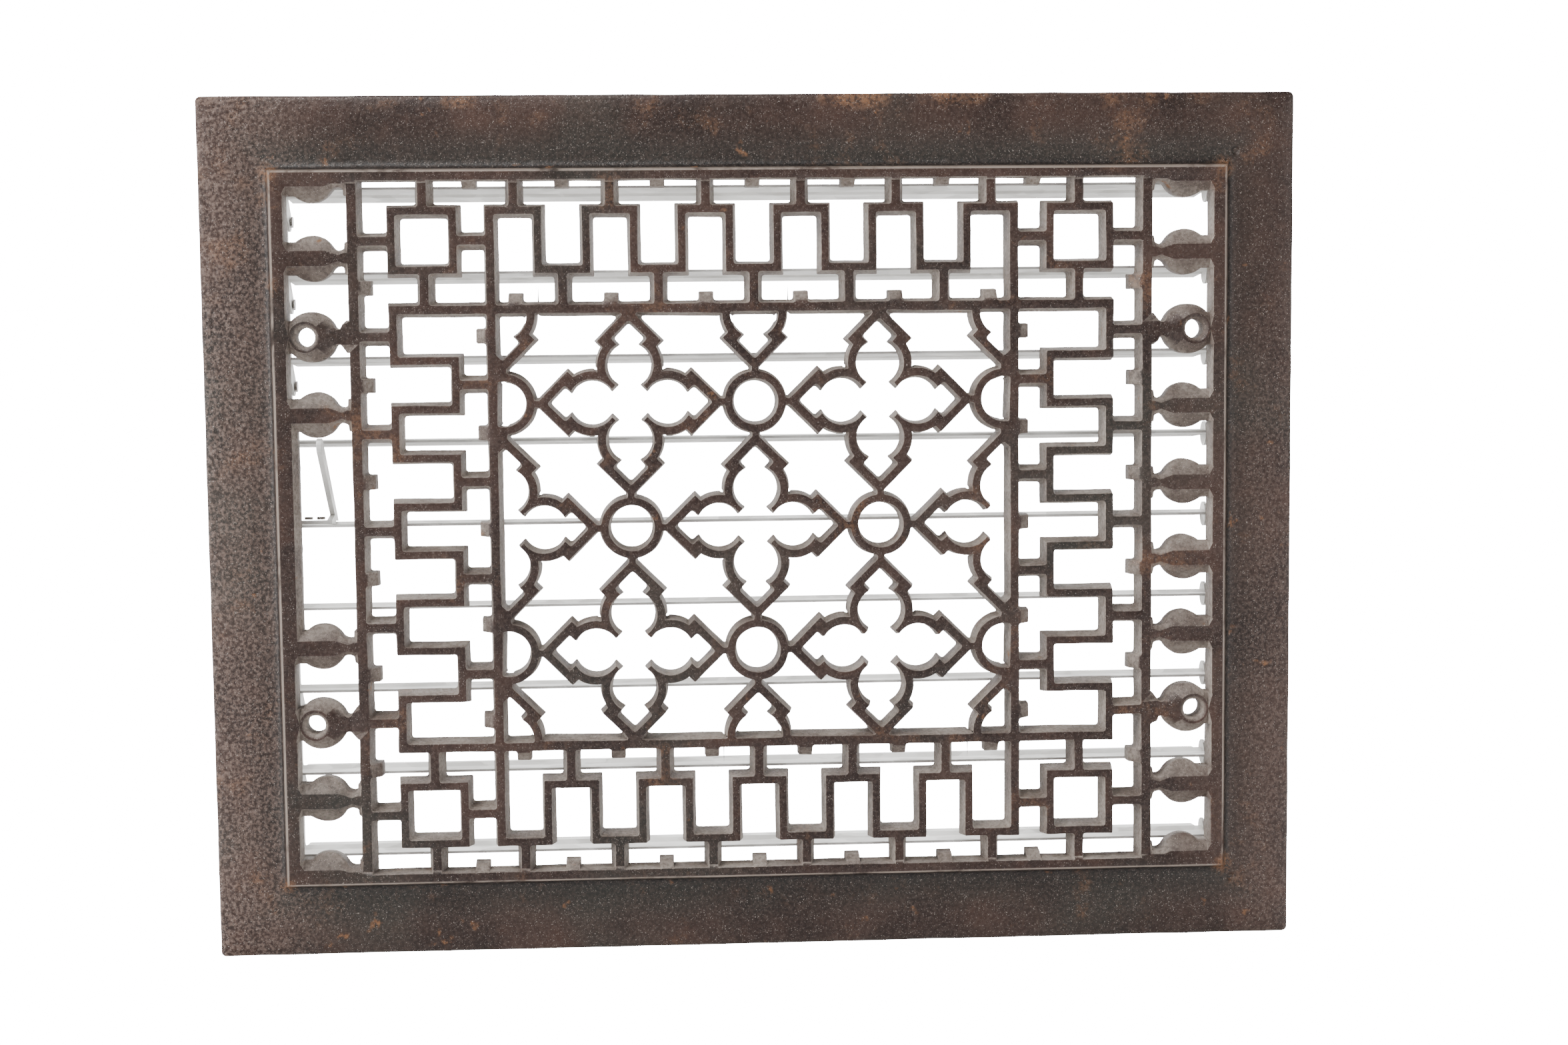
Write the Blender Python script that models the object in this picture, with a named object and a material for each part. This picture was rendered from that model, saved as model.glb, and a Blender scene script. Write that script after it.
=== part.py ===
"""Cast-iron air register: a pierced face plate with a nine-leaf louvre valve behind it.

Frame: X runs along the width, Z is up and the face looks towards -Y. The origin is
the centre of the face plate's flat back. Lengths below are millimetres: u is the
width, v the height and w the distance in front of the flat back.
"""
import math

import bpy
from mathutils import Matrix, Vector
from mathutils.geometry import delaunay_2d_cdt

MM = 0.001

# Face plate: outline, lip and levels
PLATE_HALF = (177.8, 140.05)
LIP_IN = (150.4, 112.7)
LIP_OUT = (154.6, 115.9)
LIP_LEVEL = 8.3
RISER = 0.8
LATTICE_LEVEL = 7.0
LATTICE_BACK = -1.5
STEP_HALF = (152.5, 114.8)
SEAT_HALF = (166.5, 128.6)
SEAT_LEVEL = 0.4
# Rim section outside the lip: half width, half height and level of each ring
RIM_RINGS = (
    (154.6, 115.9, 8.3),
    (156.1, 116.9, 5.0),
    (158.5, 119.3, 4.2),
    (163.0, 125.0, 4.6),
    (170.5, 132.4, 4.3),
    (177.3, 139.6, 3.3),
    (177.8, 140.05, 2.7),
    (177.8, 140.05, 0.0),
)

# Lattice bars, front widths and the draft of their sides
BAR = 2.5
PANEL_BAR = 2.8
SIDE_BAR = 3.2
STUB = 2.9
BAR_DRAFT = 1.0
STUB_DRAFT = 1.5
FOIL_DRAFT = 0.72
DENTIL_DRAFT = 0.2

# Centre lines of the fret
SIDE_BAR_U = 128.75
PANEL = (84.9, 71.4)
STEP_U = 7.72
STEP_V = 7.86
BAND_U = (96.7, 116.3)
BAND_V = (84.1, 103.05)
CORNER = (106.2, 93.5)
DENTIL_WIDTH = 4.5
DENTIL_REACH = (2.3, 3.7)
DENTIL_DROP = 3.5
END_DENTIL_U = 91.5

# Pointed quatrefoils and rings of the middle panel
CELL = 40.75
LOBE_CENTRE = 12.2
LOBE_RADIUS = (7.85, 10.5)
TIP_LINE = (26.8, 30.5)
TIP_TIE = (29.0, 31.8, 2.2)
BARB_LINE = (15.0, 9.6)
CUSP_LINE = 10.2
RING_RADIUS = (7.45, 9.95)
SMALLEST_OPENING = 6.0
SHORTEST_SIDE = 0.6
LOBE_STEPS = 6
RING_STEPS = 18

# Turned bobbins between the side bars and the lip
BOBBIN_PITCH = 25.2
DISC_U = 141.9
DISC_RADIUS = 7.45
EAR_U = 142.7
EAR_RADIUS = 8.2
NECK_U = 133.2
EAR_NECK_U = 134.0
NECK_HALF = 2.5
SPUR = (131.6, 5.2)
WEB_HALF = 5.3
RIDGE_HALF = 2.4
PINCH_HALF = 0.95
ROOT_HALF = 1.6
RIDGE_LENGTHS = (131.4, 133.3, 137.5)
ROOF_SLOPE = 0.9
EAR_HOLE_U = 144.6
EAR_HOLE_RADIUS = 3.1
SINK_RADIUS = 4.6
SINK_FLOOR = 5.5
LEDGE_REACH = 2.1
LEDGE_HALF = 33.0
LEDGE_LEVELS = (6.8, 3.0)

# Bosses on the back and the screws that hold the valve to them
SCREW_UV = (158.3, 120.8)
BOSS_RADIUS = 3.5
BOSS_END = -6.0
SCREW_HOLE_RADIUS = 1.8
SCREW_HOLE_TOP = 1.0
SCREW_SHANK_RADIUS = 1.5
SCREW_HEAD = (3.2, 2.0)

# Louvre valve
LEAVES = 9
DRIVER = 5
PITCH = 27.4
PIVOT_W = -18.2
LEAF_HALF = 14.9
LEAF_END = 153.4
SHEET = 0.8
BEAD = 1.1
TILT = math.radians(5.0)
SWING = math.radians(87.0)
CRANK = 12.0
EAR_END = 4.2
PIN_RADIUS = 1.5
PIN_HOLE_RADIUS = 1.8
BOX_HALF = (163.4, 125.4)
BOX_BACK = -37.0
BOX_FRONT = -0.4
BOX_SHEET = 0.9
TAB_SIZE = (9.0, 10.0)
LINK_U = (-155.9, -154.7)
LINK_HALF = 3.5
RIVET_RADIUS = 1.0
RIVET_HEAD = 1.9
LEVER_U = (-140.8, -139.2)
LEVER_TIP = 43.5
LEVER_HALF = 2.5
GAP = 0.3


def remove_objects():
    """Empty the scene before building."""
    for old in list(bpy.data.objects):
        bpy.data.objects.remove(old)


def finish_material(name, colour, roughness, metallic):
    """Plain finish of one kind of piece."""
    material = bpy.data.materials.new(name)
    material.use_nodes = True
    shader = material.node_tree.nodes["Principled BSDF"]
    shader.inputs["Base Color"].default_value = (*colour, 1.0)
    shader.inputs["Roughness"].default_value = roughness
    shader.inputs["Metallic"].default_value = metallic
    return material


def place(u, v, w):
    """Scene point of a place on the plate, in metres."""
    return Vector((u * MM, -w * MM, v * MM))


def add_object(name, mesh, material, origin=(0.0, 0.0, 0.0)):
    """Put a mesh in the scene as one named piece."""
    piece = bpy.data.objects.new(name, mesh)
    piece.location = origin
    bpy.context.collection.objects.link(piece)
    if material and not mesh.materials:
        mesh.materials.append(material)
    return piece


def mesh_from(name, points, faces):
    """Mesh of the given points and faces."""
    mesh = bpy.data.meshes.new(name)
    mesh.from_pydata([tuple(p) for p in points], [], faces)
    mesh.validate()
    mesh.update()
    return mesh


def arc(centre, radius, start, end, steps):
    """Points along an arc, both ends included, angles in degrees."""
    points = []
    for i in range(steps + 1):
        angle = math.radians(start + (end - start) * i / steps)
        points.append((centre[0] + radius * math.cos(angle), centre[1] + radius * math.sin(angle)))
    return points


def circle(centre, radius, steps):
    """Closed ring of points around a centre."""
    return arc(centre, radius, 0.0, 360.0 * (steps - 1) / steps, steps - 1)


def strip(start, end, width):
    """Rectangle along a centre line that runs with the width or the height."""
    half = width / 2.0
    low_u = min(start[0], end[0]) - half
    high_u = max(start[0], end[0]) + half
    low_v = min(start[1], end[1]) - half
    high_v = max(start[1], end[1]) + half
    return [(low_u, low_v), (high_u, low_v), (high_u, high_v), (low_u, high_v)]


def block(low, high):
    """Rectangle between two corners."""
    return [(low[0], low[1]), (high[0], low[1]), (high[0], high[1]), (low[0], high[1])]


def mirrored(points, sign_u, sign_v):
    """The outline on the chosen side, still running anticlockwise."""
    flipped = [(p[0] * sign_u, p[1] * sign_v) for p in points]
    if sign_u * sign_v < 0:
        flipped.reverse()
    return flipped


def four_sides(points):
    """Copies of an outline in all four quarters."""
    copies = []
    for sign_u in (1, -1):
        for sign_v in (1, -1):
            copies.append(mirrored(points, sign_u, sign_v))
    return copies


def fret_bars():
    """Outlines of the fret's bars, in all four quarters."""
    bars = []
    quarter = [
        strip((SIDE_BAR_U, 0.0), (SIDE_BAR_U, LIP_IN[1] + 1.0), SIDE_BAR),
        strip((0.0, PANEL[1]), (BAND_U[1], PANEL[1]), PANEL_BAR),
        strip((PANEL[0], 0.0), (PANEL[0], BAND_V[1]), PANEL_BAR),
    ]
    for u in BAND_U:
        quarter.append(strip((u, BAND_V[0]), (u, BAND_V[1]), BAR))
    for v in BAND_V:
        quarter.append(strip((BAND_U[0], v), (BAND_U[1], v), BAR))
    for k in range(6):
        u = STEP_U * (2 * k + 1)
        if k < 5:
            quarter.append(strip((u, BAND_V[0]), (u, BAND_V[1]), BAR))
        level = BAND_V[0] if k % 2 == 0 else BAND_V[1]
        start = STEP_U * (2 * k - 1)
        quarter.append(strip((max(start, 0.0), level), (u, level), BAR))
    for k in range(5):
        v = min(STEP_V * (2 * k + 1), PANEL[1])
        if k < 4:
            quarter.append(strip((BAND_U[0], v), (BAND_U[1], v), BAR))
        side = BAND_U[1] if k % 2 == 0 else BAND_U[0]
        start = STEP_V * (2 * k - 1)
        quarter.append(strip((side, max(start, 0.0)), (side, v), BAR))
    for outline in quarter:
        bars.extend(four_sides(outline))
    return bars


def fret_stubs():
    """Short ties that join the fret to the lip, the side bars and the panel."""
    lip = LIP_IN[1] + 1.0
    quarter = [
        strip((CORNER[0], BAND_V[1]), (CORNER[0], lip), STUB),
        strip((CORNER[0], PANEL[1]), (CORNER[0], BAND_V[0]), STUB),
        strip((BAND_U[1], CORNER[1]), (SIDE_BAR_U, CORNER[1]), STUB),
        strip((PANEL[0], CORNER[1]), (BAND_U[0], CORNER[1]), STUB),
    ]
    for k in range(3):
        u = STEP_U * (4 * k + 2)
        quarter.append(strip((u, BAND_V[1]), (u, lip), STUB))
        u = STEP_U * 4 * k
        quarter.append(strip((u, PANEL[1]), (u, BAND_V[0]), STUB))
        v = STEP_V * 4 * k
        quarter.append(strip((BAND_U[1], v), (SIDE_BAR_U, v), STUB))
    for k in range(2):
        v = STEP_V * (4 * k + 2)
        quarter.append(strip((PANEL[0], v), (BAND_U[0], v), STUB))
    stubs = []
    for outline in quarter:
        stubs.extend(four_sides(shorten(outline)))
    return stubs


def shorten(outline):
    """Trim the ends of a tie so that it stops inside the bars it joins."""
    low = [outline[0][0], outline[0][1]]
    high = [outline[2][0], outline[2][1]]
    axis = 0 if high[0] - low[0] > high[1] - low[1] else 1
    low[axis] += STUB / 2.0
    high[axis] -= STUB / 2.0
    return block(low, high)


def dentils():
    """Small sloping teeth between the ties: outline, axis across, root line and reach."""
    half = DENTIL_WIDTH / 2.0
    short, long = DENTIL_REACH
    teeth = []
    for k in range(4):
        u = STEP_U * 4 * k if k < 3 else END_DENTIL_U
        root = LIP_IN[1]
        teeth.append((block((u - half, root - short), (u + half, root)), 1, root, short))
    for k in range(3):
        u = STEP_U * (4 * k + 2)
        root = PANEL[1] + PANEL_BAR / 2.0
        teeth.append((block((u - half, root), (u + half, root + long)), 1, root, long))
    for k in range(3):
        v = STEP_V * 4 * k
        root = PANEL[0] + PANEL_BAR / 2.0
        teeth.append((block((root, v - half), (root + long, v + half)), 0, root, long))
        v = STEP_V * (4 * k + 2)
        root = SIDE_BAR_U - SIDE_BAR / 2.0
        teeth.append((block((root - long, v - half), (root, v + half)), 0, root, long))
    return teeth


def foil_outline(side):
    """Outline of a pointed quatrefoil: side 0 is its opening, side 1 its outer edge."""
    radius = LOBE_RADIUS[side]
    tip = TIP_LINE[side]
    barb = BARB_LINE[side]
    start = (tip - barb) / 2.0
    # Where the short slanting edge meets the lobe's circle
    drop = LOBE_CENTRE - barb
    meet = (drop + math.sqrt(2.0 * radius ** 2 - drop ** 2)) / 2.0
    first = math.degrees(math.atan2(meet + barb - LOBE_CENTRE, meet))
    if side == 0:
        fall = LOBE_CENTRE - CUSP_LINE
        last_u = (-fall + math.sqrt(2.0 * radius ** 2 - fall ** 2)) / 2.0
        last = math.degrees(math.atan2(-fall - last_u, last_u))
    else:
        last_u = (LOBE_CENTRE + math.sqrt(2.0 * radius ** 2 - LOBE_CENTRE ** 2)) / 2.0
        last = math.degrees(math.atan2(last_u - LOBE_CENTRE, last_u))
    lobe = arc((0.0, LOBE_CENTRE), radius, first, last, LOBE_STEPS)
    right = [(start, start + barb)] + lobe
    left = [(-p[0], p[1]) for p in reversed(right)]
    # The arm that points up, from its left foot over the tip to its right foot
    arm = left + [(0.0, tip)] + right
    if side == 1:
        arm = arm[:-1]
    outline = []
    for turn in range(4):
        angle = -math.pi / 2.0 * turn
        for u, v in arm:
            turned_u = u * math.cos(angle) - v * math.sin(angle)
            turned_v = u * math.sin(angle) + v * math.cos(angle)
            outline.append((turned_u, turned_v))
    outline.reverse()
    return outline


def shifted(points, centre):
    """The outline moved to a centre."""
    return [(p[0] + centre[0], p[1] + centre[1]) for p in points]


def panel_cells():
    """Quatrefoils and rings of the panel: outer edges first, then their openings."""
    outer = []
    inner = []
    for i in range(-2, 3):
        for j in range(-2, 3):
            centre = (CELL * i, CELL * j)
            if (i + j) % 2 == 0:
                outer.append(shifted(foil_outline(1), centre))
                inner.append(shifted(foil_outline(0), centre))
            elif abs(j) < 2:
                outer.append(shifted(circle((0.0, 0.0), RING_RADIUS[1], RING_STEPS), centre))
                inner.append(shifted(circle((0.0, 0.0), RING_RADIUS[0], RING_STEPS), centre))
    return outer, inner


def bobbin_outline(ear):
    """Plan of a turned bobbin of the right-hand column about its own middle line."""
    neck_u = EAR_NECK_U if ear else NECK_U
    centre = EAR_U if ear else DISC_U
    radius = EAR_RADIUS if ear else DISC_RADIUS
    span = centre - neck_u
    neck = (span ** 2 + NECK_HALF ** 2 - radius ** 2) / (2.0 * (radius - NECK_HALF))
    neck_v = NECK_HALF + neck
    lean = math.degrees(math.atan2(-neck_v, span))
    web = math.degrees(math.asin(WEB_HALF / radius))
    upper = [(SIDE_BAR_U, SPUR[1]), SPUR]
    upper += arc((neck_u, neck_v), neck, 230.0, 360.0 + lean, 4)
    upper += arc((centre, 0.0), radius, 180.0 + lean, web, 6)[1:]
    upper += [(LIP_IN[0] + 1.0, WEB_HALF)]
    lower = [(p[0], -p[1]) for p in upper]
    upper.reverse()
    return lower + upper


def bobbin_rows(side):
    """Heights and kinds of the bobbins of one column; the left one has the lever slot."""
    rows = []
    for k in range(-5, 5):
        v = BOBBIN_PITCH * (k + 0.5)
        if side < 0 and abs(v) < BOBBIN_PITCH:
            continue
        rows.append((v, abs(abs(v) - BOBBIN_PITCH * 2.5) < 1.0))
    return rows


def bobbins():
    """Every bobbin: its outline on the plate, its side, height and whether it is an ear."""
    pieces = []
    for side in (1, -1):
        for v, ear in bobbin_rows(side):
            outline = shifted(bobbin_outline(ear), (0.0, v))
            pieces.append((mirrored(outline, side, 1), side, v, ear))
    return pieces


def ridge_half(u):
    """Half width of a bobbin's flat ridge at a distance from the plate's middle."""
    root, pinch, full = RIDGE_LENGTHS
    if u < root:
        return ROOT_HALF
    if u < pinch:
        return ROOT_HALF + (PINCH_HALF - ROOT_HALF) * (u - root) / (pinch - root)
    if u < full:
        return PINCH_HALF + (RIDGE_HALF - PINCH_HALF) * (u - pinch) / (full - pinch)
    return RIDGE_HALF


def ridge_lines(side, v):
    """Crease lines where a bobbin's flat ridge meets its sloping sides."""
    lines = []
    for sign in (1, -1):
        line = []
        for u in (SIDE_BAR_U + SIDE_BAR / 2.0, *RIDGE_LENGTHS, LIP_IN[0] - RISER):
            line.append((side * u, v + sign * ridge_half(u)))
        if abs(v + sign * RIDGE_HALF) < LIP_IN[1] - RISER:
            lines.append(line)
    return lines


def contains(outline, point, slack=0.002):
    """Whether a point lies in an outline or within a slack of its edge."""
    inside = False
    u, v = point
    count = len(outline)
    for i in range(count):
        (u0, v0), (u1, v1) = outline[i], outline[(i + 1) % count]
        length = math.hypot(u1 - u0, v1 - v0)
        along = ((u - u0) * (u1 - u0) + (v - v0) * (v1 - v0)) / length ** 2
        along = min(1.0, max(0.0, along))
        if math.hypot(u - u0 - along * (u1 - u0), v - v0 - along * (v1 - v0)) <= slack:
            return True
        if (v0 > v) != (v1 > v) and u < (u1 - u0) * (v - v0) / (v1 - v0) + u0:
            inside = not inside
    return inside


class Lattice:
    """Plan of the pierced part of the face plate, with its levels and drafts."""

    def __init__(self):
        self.bars = fret_bars()
        self.stubs = fret_stubs()
        self.ties = []
        for outline in tip_ties():
            self.ties.extend(four_sides(outline))
        self.teeth = []
        for outline, axis, root, reach in dentils():
            for copy in four_sides(outline):
                self.teeth.append((copy, axis, root, reach))
        self.bobbins = bobbins()
        low = (-LIP_IN[0] - 1.0, -LEDGE_HALF)
        self.ledge = block(low, (-LIP_IN[0] + LEDGE_REACH, LEDGE_HALF))
        self.outer_cells, self.inner_cells = panel_cells()

    def level(self, point):
        """Height of the front surface at a point of the lattice."""
        if abs(point[0]) > LIP_IN[0] - 0.01 or abs(point[1]) > LIP_IN[1] - 0.01:
            return LIP_LEVEL
        if any(contains(bar, point) for bar in self.bars):
            return LATTICE_LEVEL
        for outline, axis, root, reach in self.teeth:
            if contains(outline, point):
                return LATTICE_LEVEL - DENTIL_DROP * abs(abs(point[axis]) - root) / reach
        for outline, side, v, ear in self.bobbins:
            if contains(outline, point):
                fall = abs(point[1] - v) - ridge_half(side * point[0])
                if ear:
                    reach = math.hypot(point[0] - side * EAR_HOLE_U, point[1] - v) - SINK_RADIUS - 0.4
                    fall = min(fall, reach)
                return LATTICE_LEVEL - ROOF_SLOPE * max(0.0, fall)
        if contains(self.ledge, point):
            along = (point[0] + LIP_IN[0]) / LEDGE_REACH
            return LEDGE_LEVELS[0] + (LEDGE_LEVELS[1] - LEDGE_LEVELS[0]) * along
        return LATTICE_LEVEL

    def draft(self, start, end):
        """How far one side of an opening leans inwards between front and back."""
        middle = ((start[0] + end[0]) / 2.0, (start[1] + end[1]) / 2.0)
        outside = abs(middle[0]) - SIDE_BAR_U - SIDE_BAR / 2.0
        if outside > 0.02 or abs(middle[1]) > LIP_IN[1] - 0.02:
            return 0.0
        if any(contains(tooth[0], middle) for tooth in self.teeth):
            return DENTIL_DRAFT
        if any(contains(stub, middle) for stub in self.stubs):
            return STUB_DRAFT
        if abs(middle[0]) < PANEL[0] - 2.0 and abs(middle[1]) < PANEL[1] - 2.0:
            return FOIL_DRAFT
        return BAR_DRAFT

    def openings(self):
        """Front outlines of every opening through the lattice."""
        field = block((-LIP_IN[0], -LIP_IN[1]), LIP_IN)
        riser = riser_outline()
        panel = block((-PANEL[0], -PANEL[1]), PANEL)
        solids = self.bars + self.stubs + self.ties + [tooth[0] for tooth in self.teeth]
        solids += [bobbin[0] for bobbin in self.bobbins] + [self.ledge]
        shapes = [field, panel] + solids + self.outer_cells + self.inner_cells + [riser]
        first_cell = 2 + len(solids)
        first_hole = first_cell + len(self.outer_cells)
        last_hole = first_hole + len(self.inner_cells)
        points, triangles, owners = triangulate(shapes)
        void = []
        for triangle, owner in zip(triangles, owners):
            if 0 not in owner:
                continue
            solid = any(2 <= k < first_cell for k in owner)
            if 1 in owner and any(first_cell <= k < first_hole for k in owner):
                solid = solid or not any(first_hole <= k < last_hole for k in owner)
            if not solid:
                void.append(triangle)
        loops = []
        for loop in edge_loops(points, void):
            if area(loop) > SMALLEST_OPENING:
                loops.append(without_short_sides(self.without_straight_points(loop)))
        return loops

    def without_straight_points(self, loop):
        """Drop the points of a loop that lie on a straight, even stretch."""
        kept = list(loop)
        i = 0
        while i < len(kept):
            before, here, after = kept[i - 1], kept[i], kept[(i + 1) % len(kept)]
            span_u = after[0] - before[0]
            span_v = after[1] - before[1]
            span = math.hypot(span_u, span_v)
            cross = span_u * (here[1] - before[1]) - span_v * (here[0] - before[0])
            along = math.hypot(here[0] - before[0], here[1] - before[1]) / span
            level = self.level(before) + (self.level(after) - self.level(before)) * along
            if abs(cross) / span < 0.004 and abs(level - self.level(here)) < 0.01:
                del kept[i]
            else:
                i += 1
        return kept


def area(outline):
    """Area of an outline, positive when it runs anticlockwise."""
    total = 0.0
    for i in range(len(outline)):
        (u0, v0), (u1, v1) = outline[i - 1], outline[i]
        total += (u0 * v1 - u1 * v0) / 2.0
    return total


def without_short_sides(loop):
    """Merge the ends of a loop's very short sides."""
    kept = []
    for point in loop:
        if not kept or math.dist(kept[-1], point) >= SHORTEST_SIDE:
            kept.append(point)
    if math.dist(kept[-1], kept[0]) < SHORTEST_SIDE:
        kept.pop()
    return kept


def tip_ties():
    """Short bridges that join the quatrefoils' tips to the rings, in one quarter."""
    near, far, width = TIP_TIE
    half = width / 2.0
    ties = []
    for i in range(3):
        for j in range(2):
            if (i + j) % 2 == 1:
                continue
            centre = (CELL * i, CELL * j)
            ties.append(shifted(block((near, -half), (far, half)), centre))
            ties.append(shifted(block((-far, -half), (-near, half)), centre))
            ties.append(shifted(block((-half, near), (half, far)), centre))
            ties.append(shifted(block((-half, -far), (half, -near)), centre))
    for i in (0, 2):
        ties.append(shifted(block((-half, -far), (half, -near)), (CELL * i, CELL * 2)))
    inside = []
    for tie in ties:
        middle = ((tie[0][0] + tie[2][0]) / 2.0, (tie[0][1] + tie[2][1]) / 2.0)
        if -0.1 < middle[0] < PANEL[0] and -0.1 < middle[1] < PANEL[1]:
            inside.append(tie)
    return inside


def riser_outline():
    """Line round the lattice where its front starts to rise to the lip."""
    half_u = LIP_IN[0] - RISER
    half_v = LIP_IN[1] - RISER
    return block((-half_u, -half_v), (half_u, half_v))


def triangulate(shapes, lines=()):
    """Triangles of overlapping outlines, with the outlines that each one lies in."""
    points = []
    faces = []
    edges = []
    for shape in shapes:
        first = len(points)
        points.extend(Vector(p) for p in shape)
        faces.append(list(range(first, len(points))))
    for line in lines:
        first = len(points)
        points.extend(Vector(p) for p in line)
        edges.extend((first + i, first + i + 1) for i in range(len(line) - 1))
    result = delaunay_2d_cdt(points, edges, faces, 1, 1e-5, True)
    return [tuple(p) for p in result[0]], result[2], result[5]


def edge_loops(points, triangles):
    """Anticlockwise boundary loops of a set of triangles."""
    edges = set()
    for triangle in triangles:
        count = len(triangle)
        for i in range(count):
            edges.add((triangle[i], triangle[(i + 1) % count]))
    follow = {a: b for a, b in edges if (b, a) not in edges}
    loops = []
    while follow:
        start = next(iter(follow))
        loop = [start]
        step = follow.pop(start)
        while step != start:
            loop.append(step)
            step = follow.pop(step)
        loops.append([points[k] for k in loop])
    return loops


def inset(loop, distances):
    """Move each side of an anticlockwise loop inwards by its own distance."""
    count = len(loop)
    normals = []
    for i in range(count):
        (u0, v0), (u1, v1) = loop[i], loop[(i + 1) % count]
        length = math.hypot(u1 - u0, v1 - v0)
        normals.append((-(v1 - v0) / length, (u1 - u0) / length))
    moved = []
    for i in range(count):
        (a0, a1), (b0, b1) = normals[i - 1], normals[i]
        da, db = distances[i - 1], distances[i]
        turn = a0 * b1 - a1 * b0
        if abs(turn) < 0.05:
            shift = ((a0 + b0) * (da + db) / 4.0, (a1 + b1) * (da + db) / 4.0)
        else:
            shift = ((da * b1 - db * a1) / turn, (db * a0 - da * b0) / turn)
        moved.append((loop[i][0] + shift[0], loop[i][1] + shift[1]))
    return moved


class PlateMesh:
    """Collects the points and faces of the face plate."""

    def __init__(self):
        self.points = []
        self.faces = []
        self.index = {}

    def point(self, u, v, w):
        """Index of a point, made on first use."""
        key = tuple(round(x, 4) for x in Vector((u, v, w)))
        if key not in self.index:
            self.index[key] = len(self.points)
            self.points.append(place(u, v, w))
        return self.index[key]

    def face(self, corners):
        """Add a face, unless its corners fall together."""
        distinct = []
        for corner in corners:
            if not distinct or corner != distinct[-1]:
                distinct.append(corner)
        if len(distinct) > 1 and distinct[0] == distinct[-1]:
            distinct.pop()
        if len(distinct) > 2:
            self.faces.append(distinct)

    def wall(self, upper, lower):
        """Quads between two matching closed rings of point indices."""
        count = len(upper)
        for i in range(count):
            j = (i + 1) % count
            self.face([upper[i], upper[j], lower[j], lower[i]])


def opening_rings(lattice):
    """Each opening as rings of an outline and its levels, from the front to the back."""
    holes = []
    for front in lattice.openings():
        count = len(front)
        drafts = [lattice.draft(front[i], front[(i + 1) % count]) for i in range(count)]
        back = inset(front, drafts)
        levels = [lattice.level(p) for p in front]
        holes.append([(front, levels), (back, [LATTICE_BACK] * count)])
    for _, side, v, ear in lattice.bobbins:
        if ear:
            rings = []
            for radius, level in ((SINK_RADIUS, LATTICE_LEVEL), (EAR_HOLE_RADIUS, SINK_FLOOR),
                                  (EAR_HOLE_RADIUS, LATTICE_BACK)):
                outline = circle((side * EAR_HOLE_U, v), radius, 14)
                rings.append((outline, [level] * len(outline)))
            holes.append(rings)
    return holes


def front_creases(lattice):
    """Lines along which the lattice's front surface bends."""
    lines = []
    for _, side, v, ear in lattice.bobbins:
        if not ear:
            lines.extend(ridge_lines(side, v))
    for outline, axis, root, _ in lattice.teeth:
        lines.append([p for p in outline if abs(abs(p[axis]) - root) < 0.01])
    riser = riser_outline()
    lines.append(riser + riser[:1])
    return lines


def add_front(plate, lattice, holes):
    """Front surface of the lattice and the lip."""
    field = block((-LIP_OUT[0], -LIP_OUT[1]), LIP_OUT)
    outlines = [rings[0][0] for rings in holes]
    points, triangles, owners = triangulate([field] + outlines, front_creases(lattice))
    levels = {}
    for outline, heights in (rings[0] for rings in holes):
        for p, w in zip(outline, heights):
            levels[(round(p[0], 3), round(p[1], 3))] = w
    for triangle, owner in zip(triangles, owners):
        if owner != [0]:
            continue
        corners = []
        for k in triangle:
            p = points[k]
            w = levels.get((round(p[0], 3), round(p[1], 3)))
            corners.append(plate.point(*p, lattice.level(p) if w is None else w))
        plate.face(corners)


def add_back(plate, holes):
    """Back of the lattice, the recess for the valve box, the seat and the four screw bosses."""
    step = block((-STEP_HALF[0], -STEP_HALF[1]), STEP_HALF)
    points, triangles, owners = triangulate([step] + [rings[-1][0] for rings in holes])
    for triangle, owner in zip(triangles, owners):
        if owner == [0]:
            plate.face([plate.point(*points[k], LATTICE_BACK) for k in reversed(triangle)])
    upper = [plate.point(*p, SEAT_LEVEL) for p in step]
    lower = [plate.point(*p, LATTICE_BACK) for p in step]
    plate.wall(lower, upper)
    bosses = []
    for sign_u in (1, -1):
        for sign_v in (1, -1):
            centre = (sign_u * SCREW_UV[0], sign_v * SCREW_UV[1])
            bosses.append((circle(centre, BOSS_RADIUS, 14), circle(centre, SCREW_HOLE_RADIUS, 14)))
    field = block((-PLATE_HALF[0], -PLATE_HALF[1]), PLATE_HALF)
    seat = block((-SEAT_HALF[0], -SEAT_HALF[1]), SEAT_HALF)
    points, triangles, owners = triangulate([field, seat, step] + [boss[0] for boss in bosses])
    for triangle, owner in zip(triangles, owners):
        if max(owner) < 2:
            level = SEAT_LEVEL if 1 in owner else 0.0
            plate.face([plate.point(*points[k], level) for k in reversed(triangle)])
    recess = [plate.point(*p, SEAT_LEVEL) for p in seat]
    bearing = [plate.point(*p, 0.0) for p in seat]
    plate.wall(recess, bearing)
    for boss, socket in bosses:
        root = [plate.point(*p, SEAT_LEVEL) for p in boss]
        end = [plate.point(*p, BOSS_END) for p in boss]
        mouth = [plate.point(*p, BOSS_END) for p in socket]
        floor = [plate.point(*p, SCREW_HOLE_TOP) for p in socket]
        plate.wall(end, root)
        plate.wall(mouth, end)
        plate.wall(floor, mouth)
        plate.face(list(reversed(floor)))


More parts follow.
